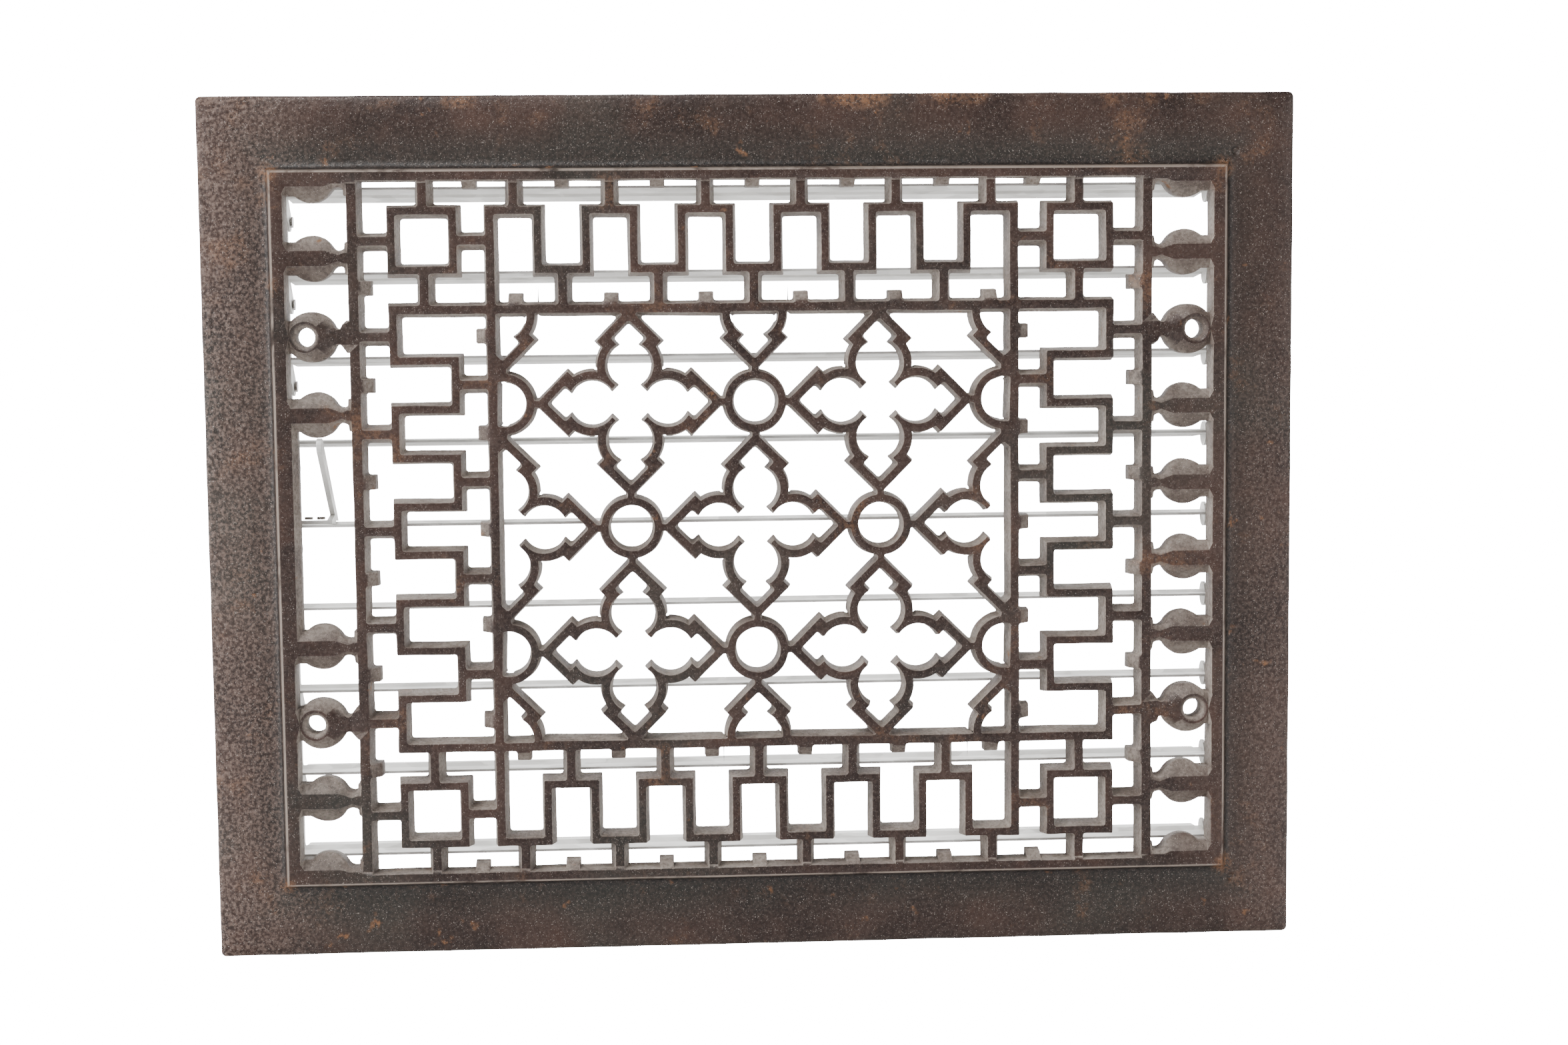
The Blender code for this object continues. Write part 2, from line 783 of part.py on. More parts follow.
def face_plate(material):
    """The whole casting: rim, lip, fret, panel, bobbins, ears and lever slot."""
    lattice = Lattice()
    plate = PlateMesh()
    holes = opening_rings(lattice)
    add_front(plate, lattice, holes)
    for rings in holes:
        indices = [[plate.point(*p, w) for p, w in zip(*ring)] for ring in rings]
        for upper, lower in zip(indices, indices[1:]):
            plate.wall(upper, lower)
    rims = []
    for half_u, half_v, w in RIM_RINGS:
        rims.append([plate.point(*p, w) for p in block((-half_u, -half_v), (half_u, half_v))])
    for inner, outer in zip(rims, rims[1:]):
        plate.wall(outer, inner)
    add_back(plate, holes)
    add_object("face_plate", mesh_from("face_plate", plate.points, plate.faces), material)


def prism(outline, low, high, axis="u"):
    """Points and faces of an outline pulled along the width or the depth.

    Along the width the outline's coordinates are (w, v); along the depth they are (u, v).
    """
    count = len(outline)
    points = []
    for end in (low, high):
        for a, b in outline:
            points.append(place(end, b, a) if axis == "u" else place(a, b, end))
    faces = [list(range(count)), list(range(2 * count - 1, count - 1, -1))]
    for i in range(count):
        j = (i + 1) % count
        faces.append([j, i, count + i, count + j])
    # Turn the faces over when the outline runs the other way
    if (area(outline) > 0) == (axis == "depth"):
        faces = [list(reversed(face)) for face in faces]
    return points, faces


def solid(name, parts):
    """One mesh of several separate prisms."""
    points = []
    faces = []
    for part_points, part_faces in parts:
        first = len(points)
        points.extend(part_points)
        faces.extend([first + k for k in face] for face in part_faces)
    return mesh_from(name, points, faces)


def combined(name, first, others, operation="UNION"):
    """One mesh from a solid and those that are joined to it or cut from it."""
    base = add_object(name + "_base", first, None)
    tools = []
    for k, other in enumerate(others):
        tool = add_object(name + "_tool_" + str(k), other, None)
        tools.append(tool)
        step = base.modifiers.new("step_" + str(k), "BOOLEAN")
        step.operation = operation
        step.solver = "EXACT"
        step.object = tool
    graph = bpy.context.evaluated_depsgraph_get()
    result = bpy.data.meshes.new_from_object(base.evaluated_get(graph))
    for used in [base] + tools:
        bpy.data.objects.remove(used)
    result.name = name
    return result


def rod(centre, radius, low, high, steps=12):
    """Round bar along the width; its centre is (w, v)."""
    return prism(circle(centre, radius, steps), low, high)


def leaf_height(k):
    """Height of a louvre's pivot; louvre 1 is the lowest."""
    return PITCH * (k - DRIVER)


def tilted(mesh):
    """Turn a mesh drawn on a level louvre to the louvre's open position."""
    mesh.transform(Matrix.Rotation(-TILT, 4, "X"))
    return mesh


def crank_point(angle):
    """Place (w, v) of the link's rivet from a louvre's pivot, below the level by an angle."""
    return (-CRANK * math.cos(angle), -CRANK * math.sin(angle))


def leaf_mesh():
    """One louvre about its own pivot: a beaded sheet, an ear at each end and two pins."""
    half = SHEET / 2.0
    under = [(-LEAF_HALF, -half), (-3.2, -half), (0.0, BEAD - half), (3.2, -half), (LEAF_HALF, -half)]
    over = [(w, v + SHEET) for w, v in reversed(under)]
    sheet = solid("sheet", [prism(under + over, -LEAF_END, LEAF_END)])
    link = crank_point(SWING / 2.0 - TILT)
    turn = math.degrees(SWING / 2.0 - TILT)
    outline = arc((0.0, 0.0), EAR_END, turn - 80.0, turn + 80.0, 6)
    outline += arc(link, 3.2, turn + 100.0, turn + 260.0, 6)
    wall = BOX_HALF[0] + BOX_SHEET
    parts = [
        solid("ear_left", [prism(outline, -LEAF_END - SHEET, -LEAF_END + 0.01)]),
        solid("ear_right", [rod((0.0, 0.0), EAR_END, LEAF_END - 0.01, LEAF_END + SHEET, 14)]),
        solid("pin_left", [rod((0.0, 0.0), PIN_RADIUS, -wall - 1.5, -LEAF_END - SHEET + 0.01)]),
        solid("pin_right", [rod((0.0, 0.0), PIN_RADIUS, LEAF_END + SHEET - 0.01, wall + 1.5)]),
    ]
    blank = combined("louvre_blank", sheet, parts)
    eye = rod(link, RIVET_RADIUS + GAP, -LEAF_END - 2.0, -LEAF_END + 2.0, 10)
    return tilted(combined("louvre", blank, [solid("eye", [eye])], "DIFFERENCE"))


def louvres(finish):
    """The nine leaves of the valve."""
    leaf = leaf_mesh()
    for k in range(1, LEAVES + 1):
        origin = place(0.0, leaf_height(k), PIVOT_W)
        add_object("louvre_" + str(k), leaf, finish, origin)


def valve_box(finish):
    """Four rails of sheet round the louvres, the top and bottom ones with screw tabs."""
    half_u, half_v = BOX_HALF
    outer_u = half_u + BOX_SHEET
    for side, name in ((-1, "valve_rail_left"), (1, "valve_rail_right")):
        low, high = sorted((side * half_u, side * outer_u))
        wall = block((BOX_BACK, -half_v), (BOX_FRONT, half_v))
        rail = solid(name, [prism(wall, low, high)])
        holes = []
        for k in range(1, LEAVES + 1):
            hole = rod((PIVOT_W, leaf_height(k)), PIN_HOLE_RADIUS, low - 1.0, high + 1.0)
            holes.append(solid("hole", [hole]))
        add_object(name, combined(name, rail, holes, "DIFFERENCE"), finish)
    tab_front = BOSS_END - GAP
    tab_back = tab_front - 1.0
    for side, name in ((1, "valve_rail_top"), (-1, "valve_rail_bottom")):
        low, high = sorted((side * (half_v + GAP), side * (half_v + GAP + BOX_SHEET)))
        wall = block((BOX_BACK, low), (BOX_FRONT, high))
        rail = solid(name, [prism(wall, -outer_u, outer_u)])
        tabs = []
        holes = []
        for end in (-1, 1):
            near = sorted((end * (half_u - GAP), end * (half_u - GAP - TAB_SIZE[0])))
            reach = sorted((side * (half_v + GAP + 0.1), side * (half_v - TAB_SIZE[1])))
            outline = block((near[0], reach[0]), (near[1], reach[1]))
            tabs.append(solid("tab", [prism(outline, tab_back, tab_front, "depth")]))
            eye = circle((end * SCREW_UV[0], side * SCREW_UV[1]), SCREW_HOLE_RADIUS + GAP, 12)
            holes.append(solid("eye", [prism(eye, tab_back - 1.0, tab_front + 1.0, "depth")]))
        blank = combined(name + "_blank", rail, tabs)
        add_object(name, combined(name, blank, holes, "DIFFERENCE"), finish)


def valve_screws(finish):
    """Pan-head screws from behind, their shanks in the blind holes of the bosses."""
    radius, height = SCREW_HEAD
    seat = BOSS_END - 1.0 - 2.0 * GAP
    profile = (
        (SCREW_SHANK_RADIUS, SCREW_HOLE_TOP - GAP),
        (SCREW_SHANK_RADIUS, seat),
        (radius, seat),
        (radius, seat - height * 0.5),
        (radius * 0.6, seat - height),
    )
    number = 0
    for end in (-1, 1):
        for side in (-1, 1):
            number += 1
            centre = (end * SCREW_UV[0], side * SCREW_UV[1])
            screw = solid("valve_screw", [turned(profile, 12, "depth")])
            add_object("valve_screw_" + str(number), screw, finish, place(*centre, 0.0))


def turned(profile, steps, axis="u"):
    """Closed solid turned about the width or the depth; the profile is (radius, distance)."""
    points = []
    faces = []
    for radius, along in profile:
        for a, b in circle((0.0, 0.0), radius, steps):
            points.append(place(along, b, a) if axis == "u" else place(a, b, along))
    for ring in range(len(profile) - 1):
        for i in range(steps):
            j = (i + 1) % steps
            here = ring * steps
            there = here + steps
            faces.append([here + j, here + i, there + i, there + j])
    last = (len(profile) - 1) * steps
    faces.append(list(range(steps)))
    faces.append(list(range(last + steps - 1, last - 1, -1)))
    return points, faces


def link_bar(finish):
    """Flat bar that ties the louvres together, about its rivet on the middle louvre."""
    reach = leaf_height(LEAVES) - leaf_height(DRIVER)
    outline = arc((0.0, -reach), LINK_HALF, 180.0, 360.0, 6)
    outline += arc((0.0, reach), LINK_HALF, 0.0, 180.0, 6)
    bar = solid("link_bar", [prism(outline, *LINK_U)])
    holes = []
    for k in range(1, LEAVES + 1):
        centre = (0.0, leaf_height(k) - leaf_height(DRIVER))
        hole = rod(centre, RIVET_RADIUS + GAP, LINK_U[0] - 1.0, LINK_U[1] + 1.0, 10)
        holes.append(solid("hole", [hole]))
    w, v = crank_point(SWING / 2.0)
    origin = place(0.0, leaf_height(DRIVER) + v, PIVOT_W + w)
    add_object("link_bar", combined("link_bar", bar, holes, "DIFFERENCE"), finish, origin)


def link_rivets(finish):
    """One headed rivet through each louvre's ear and the link bar."""
    profile = (
        (RIVET_HEAD, LINK_U[0] - GAP - 0.8),
        (RIVET_HEAD, LINK_U[0] - GAP),
        (RIVET_RADIUS, LINK_U[0] - GAP),
        (RIVET_RADIUS, -LEAF_END + GAP),
        (RIVET_HEAD, -LEAF_END + GAP),
        (RIVET_HEAD, -LEAF_END + GAP + 0.6),
    )
    rivet = solid("link_rivet", [turned(profile, 10)])
    w, v = crank_point(SWING / 2.0)
    for k in range(1, LEAVES + 1):
        origin = place(0.0, leaf_height(k) + v, PIVOT_W + w)
        add_object("link_rivet_" + str(k), rivet, finish, origin)


def lever(finish, rivet_finish):
    """Finger lever riveted to the middle louvre; it points up through the slot when open."""
    turn = SWING / 2.0 - TILT
    ahead = (math.cos(turn), math.sin(turn))
    foot = SHEET / 2.0 + GAP
    end = (ahead[0] * (LEVER_TIP - LEVER_HALF), ahead[1] * (LEVER_TIP - LEVER_HALF))
    degrees = math.degrees(turn)
    outline = [(-3.0, foot + BEAD), (3.2, foot + BEAD)]
    outline += arc(end, LEVER_HALF, degrees - 90.0, degrees + 90.0, 6)
    arm = solid("arm", [prism(outline, *LEVER_U)])
    sole = block((3.8, foot), (12.8, foot + 1.2))
    foot_end = LEVER_U[0] - 9.0
    bridge = [(-3.0, foot + BEAD), (3.2, foot + BEAD), (3.8, foot), (12.8, foot), (12.8, foot + 1.2),
              (2.0, foot + 4.0)]
    plate = solid("sole", [prism(sole, foot_end, LEVER_U[1])])
    web = solid("web", [prism(bridge, *LEVER_U)])
    origin = place(0.0, leaf_height(DRIVER), PIVOT_W)
    add_object("lever", tilted(combined("lever", arm, [web, plate])), finish, origin)
    for number, u in enumerate((LEVER_U[0] - 6.6, LEVER_U[0] - 2.6)):
        base = circle((0.0, 0.0), 1.4, 10)
        points = [place(u + a, foot + 1.2 + GAP, 8.3 + b) for a, b in base]
        points += [place(u + a, foot + 2.1 + GAP, 8.3 + b) for a, b in base]
        faces = [list(range(10)), list(range(19, 9, -1))]
        for i in range(10):
            j = (i + 1) % 10
            faces.append([j, i, 10 + i, 10 + j])
        rivet = tilted(mesh_from("lever_rivet", points, faces))
        add_object("lever_rivet_" + str(number + 1), rivet, rivet_finish, origin)


def friction_washer(finish):
    """Spring washer on the driving louvre's pin that keeps the valve where it is put."""
    low = -BOX_HALF[0] + GAP
    high = low + 1.4
    points = []
    for radius in (4.0, PIN_HOLE_RADIUS + 0.1):
        for along in (low, high):
            points.extend(place(along, b, a) for a, b in circle((0.0, 0.0), radius, 16))
    faces = []
    for i in range(16):
        j = (i + 1) % 16
        faces.append([j, i, 16 + i, 16 + j])
        faces.append([32 + i, 32 + j, 48 + j, 48 + i])
        faces.append([i, j, 32 + j, 32 + i])
        faces.append([16 + j, 16 + i, 48 + i, 48 + j])
    origin = place(0.0, leaf_height(DRIVER), PIVOT_W)
    add_object("friction_washer", mesh_from("friction_washer", points, faces), finish, origin)


def main():
    remove_objects()
    iron = finish_material("cast_iron", (0.045, 0.026, 0.019), 0.55, 0.6)
    zinc = finish_material("zinc_sheet", (0.62, 0.63, 0.64), 0.42, 0.9)
    steel = finish_material("bright_steel", (0.5, 0.5, 0.5), 0.35, 1.0)
    face_plate(iron)
    valve_box(zinc)
    valve_screws(steel)
    louvres(zinc)
    link_bar(zinc)
    link_rivets(steel)
    lever(iron, steel)
    friction_washer(steel)


main()
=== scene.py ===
"""Looks of a cast-iron louvred register, laid out as a Blender add-on.

The face plate is drawn again with rounded edges and corners; the louvre valve keeps
its solids and gets its finishes here. Lengths named u, v and w are millimetres: u is
the width, v the height and w the distance in front of the plate's flat back.
"""

import math

import bpy
from mathutils import Matrix, Vector, noise
from mathutils.geometry import delaunay_2d_cdt


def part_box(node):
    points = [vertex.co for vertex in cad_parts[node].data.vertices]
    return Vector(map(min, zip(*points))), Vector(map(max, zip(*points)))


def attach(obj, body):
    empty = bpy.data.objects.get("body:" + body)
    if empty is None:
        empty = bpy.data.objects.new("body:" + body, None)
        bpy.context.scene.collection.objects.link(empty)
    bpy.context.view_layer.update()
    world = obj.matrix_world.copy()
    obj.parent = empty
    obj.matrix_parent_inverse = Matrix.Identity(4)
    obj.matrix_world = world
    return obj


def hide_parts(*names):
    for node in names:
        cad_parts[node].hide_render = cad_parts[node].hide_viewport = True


bl_info = {
    "name": "Louvred Iron Register",
    "version": (1, 0, 0),
    "blender": (4, 5, 0),
    "location": "View3D > Sidebar > Register",
    "description": "Builds the looks of a cast-iron register with a louvre valve",
    "category": "Object",
}

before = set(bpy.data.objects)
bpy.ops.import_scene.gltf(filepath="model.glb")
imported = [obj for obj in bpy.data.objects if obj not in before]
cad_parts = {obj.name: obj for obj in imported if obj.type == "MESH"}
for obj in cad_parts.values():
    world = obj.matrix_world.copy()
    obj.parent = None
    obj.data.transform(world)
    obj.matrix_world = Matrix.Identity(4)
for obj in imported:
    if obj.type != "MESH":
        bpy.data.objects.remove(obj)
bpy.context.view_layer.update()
FLOOR_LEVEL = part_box("face_plate")[0][2] - 0.0001

MM = 0.001

# Face plate: outline, lip and levels
PLATE_HALF = (177.8, 140.05)
LIP_IN = (150.4, 112.7)
LIP_OUT = (154.6, 115.9)
LIP_LEVEL = 8.3
RISER = 0.8
LATTICE_LEVEL = 7.0
LATTICE_BACK = -1.5
STEP_HALF = (152.5, 114.8)
SEAT_HALF = (166.5, 128.6)
SEAT_LEVEL = 0.4
# Rim section outside the lip: half width, half height and level of each ring
RIM_RINGS = (
    (154.0, 115.4, 8.3),
    (154.4, 115.75, 8.2),
    (154.65, 115.95, 7.85),
    (155.2, 116.35, 6.6),
    (155.8, 116.85, 5.5),
    (156.5, 117.45, 4.8),
    (157.4, 118.3, 4.4),
    (158.6, 119.5, 4.2),
    (160.2, 121.3, 4.22),
    (162.0, 123.5, 4.42),
    (164.2, 126.1, 4.58),
    (167.2, 129.1, 4.56),
    (170.5, 132.4, 4.4),
    (173.6, 135.7, 4.12),
    (176.2, 138.4, 3.7),
    (177.3, 139.55, 3.32),
    (177.68, 139.93, 3.0),
    (177.8, 140.05, 2.6),
    (177.8, 140.05, 1.4),
    (177.8, 140.05, 0.4),
    (177.5, 139.75, 0.0),
)
CORNER_ROUNDING = 1.6
SIDE_STEPS = 64

# Lattice bars, front widths and the draft of their sides
BAR = 2.5
PANEL_BAR = 2.8
SIDE_BAR = 3.2
STUB = 2.9
BAR_DRAFT = 1.0
STUB_DRAFT = 1.5
FOIL_DRAFT = 0.72
DENTIL_DRAFT = 0.2

# Centre lines of the fret
SIDE_BAR_U = 128.75
PANEL = (84.9, 71.4)
STEP_U = 7.72
STEP_V = 7.86
BAND_U = (96.7, 116.3)
BAND_V = (84.1, 103.05)
CORNER = (106.2, 93.5)
DENTIL_WIDTH = 4.5
DENTIL_REACH = (2.3, 3.7)
DENTIL_DROP = 3.5
END_DENTIL_U = 91.5

# Pointed quatrefoils and rings of the middle panel
CELL = 40.75
LOBE_CENTRE = 12.2
LOBE_RADIUS = (7.85, 10.5)
TIP_LINE = (26.8, 30.5)
TIP_TIE = (29.0, 31.8, 2.2)
BARB_LINE = (15.0, 9.6)
CUSP_LINE = 10.2
RING_RADIUS = (7.45, 9.95)
SMALLEST_OPENING = 6.0
SHORTEST_SIDE = 0.45
LOBE_STEPS = 16
RING_STEPS = 56

# Turned bobbins between the side bars and the lip
BOBBIN_PITCH = 25.2
DISC_U = 141.9
DISC_RADIUS = 7.45
EAR_U = 142.7
EAR_RADIUS = 8.2
NECK_U = 133.2
EAR_NECK_U = 134.0
NECK_HALF = 2.5
SPUR = (131.6, 5.2)
WEB_HALF = 5.3
RIDGE_HALF = 2.4
PINCH_HALF = 0.95
ROOT_HALF = 1.6
RIDGE_LENGTHS = (131.4, 133.3, 137.5)
ROOF_SLOPE = 0.9
EAR_HOLE_U = 144.6
EAR_HOLE_RADIUS = 3.1
SINK_RADIUS = 4.6
SINK_FLOOR = 5.5
LEDGE_REACH = 2.1
LEDGE_HALF = 33.0
LEDGE_LEVELS = (6.8, 3.0)

# Bosses on the back
SCREW_UV = (158.3, 120.8)
BOSS_RADIUS = 3.5
BOSS_END = -6.0
SCREW_HOLE_RADIUS = 1.8
SCREW_HOLE_TOP = 1.0

# Softening of the casting's edges and corners
INNER_FILLET = 0.95
OUTER_FILLET = 0.42
FILLET_STEPS = 3
LONGEST_SIDE = 2.6
CREASE_TRIM = 0.6
WAVER_SEED = 7
UNTANGLE_PASSES = 8
UNTANGLE_REACH = 30

# The view
CAMERA_PLACE = (-0.03118, -0.74428, 0.06286)
CAMERA_RIGHT = (0.99842, -0.05519, -0.01014)
CAMERA_UP = (0.01469, 0.08268, 0.99647)
WORLD_LIGHT = 0.45
CAMERA_LENS = 52.04


def place(u, v, w):
    """Scene point of a place on the plate, in metres."""
    return Vector((u * MM, -w * MM, v * MM))


def mesh_from(name, points, faces):
    """Mesh of the given points and faces."""
    mesh = bpy.data.meshes.new(name)
    mesh.from_pydata([tuple(p) for p in points], [], faces)
    mesh.validate()
    mesh.update()
    return mesh


def arc(centre, radius, start, end, steps):
    """Points along an arc, both ends included, angles in degrees."""
    points = []
    for i in range(steps + 1):
        angle = math.radians(start + (end - start) * i / steps)
        points.append((centre[0] + radius * math.cos(angle), centre[1] + radius * math.sin(angle)))
    return points


def circle(centre, radius, steps):
    """Closed ring of points around a centre."""
    return arc(centre, radius, 0.0, 360.0 * (steps - 1) / steps, steps - 1)


def strip(start, end, width):
    """Rectangle along a centre line that runs with the width or the height."""
    half = width / 2.0
    low_u = min(start[0], end[0]) - half
    high_u = max(start[0], end[0]) + half
    low_v = min(start[1], end[1]) - half
    high_v = max(start[1], end[1]) + half
    return [(low_u, low_v), (high_u, low_v), (high_u, high_v), (low_u, high_v)]


def block(low, high):
    """Rectangle between two corners."""
    return [(low[0], low[1]), (high[0], low[1]), (high[0], high[1]), (low[0], high[1])]


def mirrored(points, sign_u, sign_v):
    """The outline on the chosen side, still running anticlockwise."""
    flipped = [(p[0] * sign_u, p[1] * sign_v) for p in points]
    if sign_u * sign_v < 0:
        flipped.reverse()
    return flipped


def four_sides(points):
    """Copies of an outline in all four quarters."""
    copies = []
    for sign_u in (1, -1):
        for sign_v in (1, -1):
            copies.append(mirrored(points, sign_u, sign_v))
    return copies


def fret_bars():
    """Outlines of the fret's bars, in all four quarters."""
    bars = []
    quarter = [
        strip((SIDE_BAR_U, 0.0), (SIDE_BAR_U, LIP_IN[1] + 1.0), SIDE_BAR),
        strip((0.0, PANEL[1]), (BAND_U[1], PANEL[1]), PANEL_BAR),
        strip((PANEL[0], 0.0), (PANEL[0], BAND_V[1]), PANEL_BAR),
    ]
    for u in BAND_U:
        quarter.append(strip((u, BAND_V[0]), (u, BAND_V[1]), BAR))
    for v in BAND_V:
        quarter.append(strip((BAND_U[0], v), (BAND_U[1], v), BAR))
    for k in range(6):
        u = STEP_U * (2 * k + 1)
        if k < 5:
            quarter.append(strip((u, BAND_V[0]), (u, BAND_V[1]), BAR))
        level = BAND_V[0] if k % 2 == 0 else BAND_V[1]
        start = STEP_U * (2 * k - 1)
        quarter.append(strip((max(start, 0.0), level), (u, level), BAR))
    for k in range(5):
        v = min(STEP_V * (2 * k + 1), PANEL[1])
        if k < 4:
            quarter.append(strip((BAND_U[0], v), (BAND_U[1], v), BAR))
        side = BAND_U[1] if k % 2 == 0 else BAND_U[0]
        start = STEP_V * (2 * k - 1)
        quarter.append(strip((side, max(start, 0.0)), (side, v), BAR))
    for outline in quarter:
        bars.extend(four_sides(outline))
    return bars


def fret_stubs():
    """Short ties that join the fret to the lip, the side bars and the panel."""
    lip = LIP_IN[1] + 1.0
    quarter = [
        strip((CORNER[0], BAND_V[1]), (CORNER[0], lip), STUB),
        strip((CORNER[0], PANEL[1]), (CORNER[0], BAND_V[0]), STUB),
        strip((BAND_U[1], CORNER[1]), (SIDE_BAR_U, CORNER[1]), STUB),
        strip((PANEL[0], CORNER[1]), (BAND_U[0], CORNER[1]), STUB),
    ]
    for k in range(3):
        u = STEP_U * (4 * k + 2)
        quarter.append(strip((u, BAND_V[1]), (u, lip), STUB))
        u = STEP_U * 4 * k
        quarter.append(strip((u, PANEL[1]), (u, BAND_V[0]), STUB))
        v = STEP_V * 4 * k
        quarter.append(strip((BAND_U[1], v), (SIDE_BAR_U, v), STUB))
    for k in range(2):
        v = STEP_V * (4 * k + 2)
        quarter.append(strip((PANEL[0], v), (BAND_U[0], v), STUB))
    stubs = []
    for outline in quarter:
        stubs.extend(four_sides(shorten(outline)))
    return stubs


def shorten(outline):
    """Trim the ends of a tie so that it stops inside the bars it joins."""
    low = [outline[0][0], outline[0][1]]
    high = [outline[2][0], outline[2][1]]
    axis = 0 if high[0] - low[0] > high[1] - low[1] else 1
    low[axis] += STUB / 2.0
    high[axis] -= STUB / 2.0
    return block(low, high)


def dentils():
    """Small sloping teeth between the ties: outline, axis across, root line and reach."""
    half = DENTIL_WIDTH / 2.0
    short, long = DENTIL_REACH
    teeth = []
    for k in range(4):
        u = STEP_U * 4 * k if k < 3 else END_DENTIL_U
        root = LIP_IN[1]
        teeth.append((block((u - half, root - short), (u + half, root)), 1, root, short))
    for k in range(3):
        u = STEP_U * (4 * k + 2)
        root = PANEL[1] + PANEL_BAR / 2.0
        teeth.append((block((u - half, root), (u + half, root + long)), 1, root, long))
    for k in range(3):
        v = STEP_V * 4 * k
        root = PANEL[0] + PANEL_BAR / 2.0
        teeth.append((block((root, v - half), (root + long, v + half)), 0, root, long))
        v = STEP_V * (4 * k + 2)
        root = SIDE_BAR_U - SIDE_BAR / 2.0
        teeth.append((block((root - long, v - half), (root, v + half)), 0, root, long))
    return teeth


def foil_outline(side):
    """Outline of a pointed quatrefoil: side 0 is its opening, side 1 its outer edge."""
    radius = LOBE_RADIUS[side]
    tip = TIP_LINE[side]
    barb = BARB_LINE[side]
    start = (tip - barb) / 2.0
    # Where the short slanting edge meets the lobe's circle
    drop = LOBE_CENTRE - barb
    meet = (drop + math.sqrt(2.0 * radius ** 2 - drop ** 2)) / 2.0
    first = math.degrees(math.atan2(meet + barb - LOBE_CENTRE, meet))
    if side == 0:
        fall = LOBE_CENTRE - CUSP_LINE
        last_u = (-fall + math.sqrt(2.0 * radius ** 2 - fall ** 2)) / 2.0
        last = math.degrees(math.atan2(-fall - last_u, last_u))
    else:
        last_u = (LOBE_CENTRE + math.sqrt(2.0 * radius ** 2 - LOBE_CENTRE ** 2)) / 2.0
        last = math.degrees(math.atan2(last_u - LOBE_CENTRE, last_u))
    lobe = arc((0.0, LOBE_CENTRE), radius, first, last, LOBE_STEPS)
    right = [(start, start + barb)] + lobe
    left = [(-p[0], p[1]) for p in reversed(right)]
    # The arm that points up, from its left foot over the tip to its right foot
    arm = left + [(0.0, tip)] + right
    if side == 1:
        arm = arm[:-1]
    outline = []
    for turn in range(4):
        angle = -math.pi / 2.0 * turn
        for u, v in arm:
            turned_u = u * math.cos(angle) - v * math.sin(angle)
            turned_v = u * math.sin(angle) + v * math.cos(angle)
            outline.append((turned_u, turned_v))
    outline.reverse()
    return outline


def shifted(points, centre):
    """The outline moved to a centre."""
    return [(p[0] + centre[0], p[1] + centre[1]) for p in points]


def panel_cells():
    """Quatrefoils and rings of the panel: outer edges first, then their openings."""
    outer = []
    inner = []
    for i in range(-2, 3):
        for j in range(-2, 3):
            centre = (CELL * i, CELL * j)
            if (i + j) % 2 == 0:
                outer.append(shifted(foil_outline(1), centre))
                inner.append(shifted(foil_outline(0), centre))
            elif abs(j) < 2:
                outer.append(shifted(circle((0.0, 0.0), RING_RADIUS[1], RING_STEPS), centre))
                inner.append(shifted(circle((0.0, 0.0), RING_RADIUS[0], RING_STEPS), centre))
    return outer, inner


def bobbin_outline(ear):
    """Plan of a turned bobbin of the right-hand column about its own middle line."""
    neck_u = EAR_NECK_U if ear else NECK_U
    centre = EAR_U if ear else DISC_U
    radius = EAR_RADIUS if ear else DISC_RADIUS
    span = centre - neck_u
    neck = (span ** 2 + NECK_HALF ** 2 - radius ** 2) / (2.0 * (radius - NECK_HALF))
    neck_v = NECK_HALF + neck
    lean = math.degrees(math.atan2(-neck_v, span))
    web = math.degrees(math.asin(WEB_HALF / radius))
    upper = [(SIDE_BAR_U, SPUR[1]), SPUR]
    upper += arc((neck_u, neck_v), neck, 230.0, 360.0 + lean, 9)
    upper += arc((centre, 0.0), radius, 180.0 + lean, web, 16)[1:]
    upper += [(LIP_IN[0] + 1.0, WEB_HALF)]
    lower = [(p[0], -p[1]) for p in upper]
    upper.reverse()
    return lower + upper


def bobbin_rows(side):
    """Heights and kinds of the bobbins of one column; the left one has the lever slot."""
    rows = []
    for k in range(-5, 5):
        v = BOBBIN_PITCH * (k + 0.5)
        if side < 0 and abs(v) < BOBBIN_PITCH:
            continue
        rows.append((v, abs(abs(v) - BOBBIN_PITCH * 2.5) < 1.0))
    return rows


def bobbins():
    """Every bobbin: its outline on the plate, its side, height and whether it is an ear."""
    pieces = []
    for side in (1, -1):
        for v, ear in bobbin_rows(side):
            outline = shifted(bobbin_outline(ear), (0.0, v))
            pieces.append((mirrored(outline, side, 1), side, v, ear))
    return pieces


def ridge_half(u):
    """Half width of a bobbin's flat ridge at a distance from the plate's middle."""
    root, pinch, full = RIDGE_LENGTHS
    if u < root:
        return ROOT_HALF
    if u < pinch:
        return ROOT_HALF + (PINCH_HALF - ROOT_HALF) * (u - root) / (pinch - root)
    if u < full:
        return PINCH_HALF + (RIDGE_HALF - PINCH_HALF) * (u - pinch) / (full - pinch)
    return RIDGE_HALF


def ridge_lines(side, v):
    """Crease lines where a bobbin's flat ridge meets its sloping sides."""
    lines = []
    for sign in (1, -1):
        line = []
        for u in (SIDE_BAR_U + SIDE_BAR / 2.0, *RIDGE_LENGTHS, LIP_IN[0] - RISER):
            line.append((side * u, v + sign * ridge_half(u)))
        if abs(v + sign * RIDGE_HALF) < LIP_IN[1] - RISER:
            lines.append(line)
    return lines


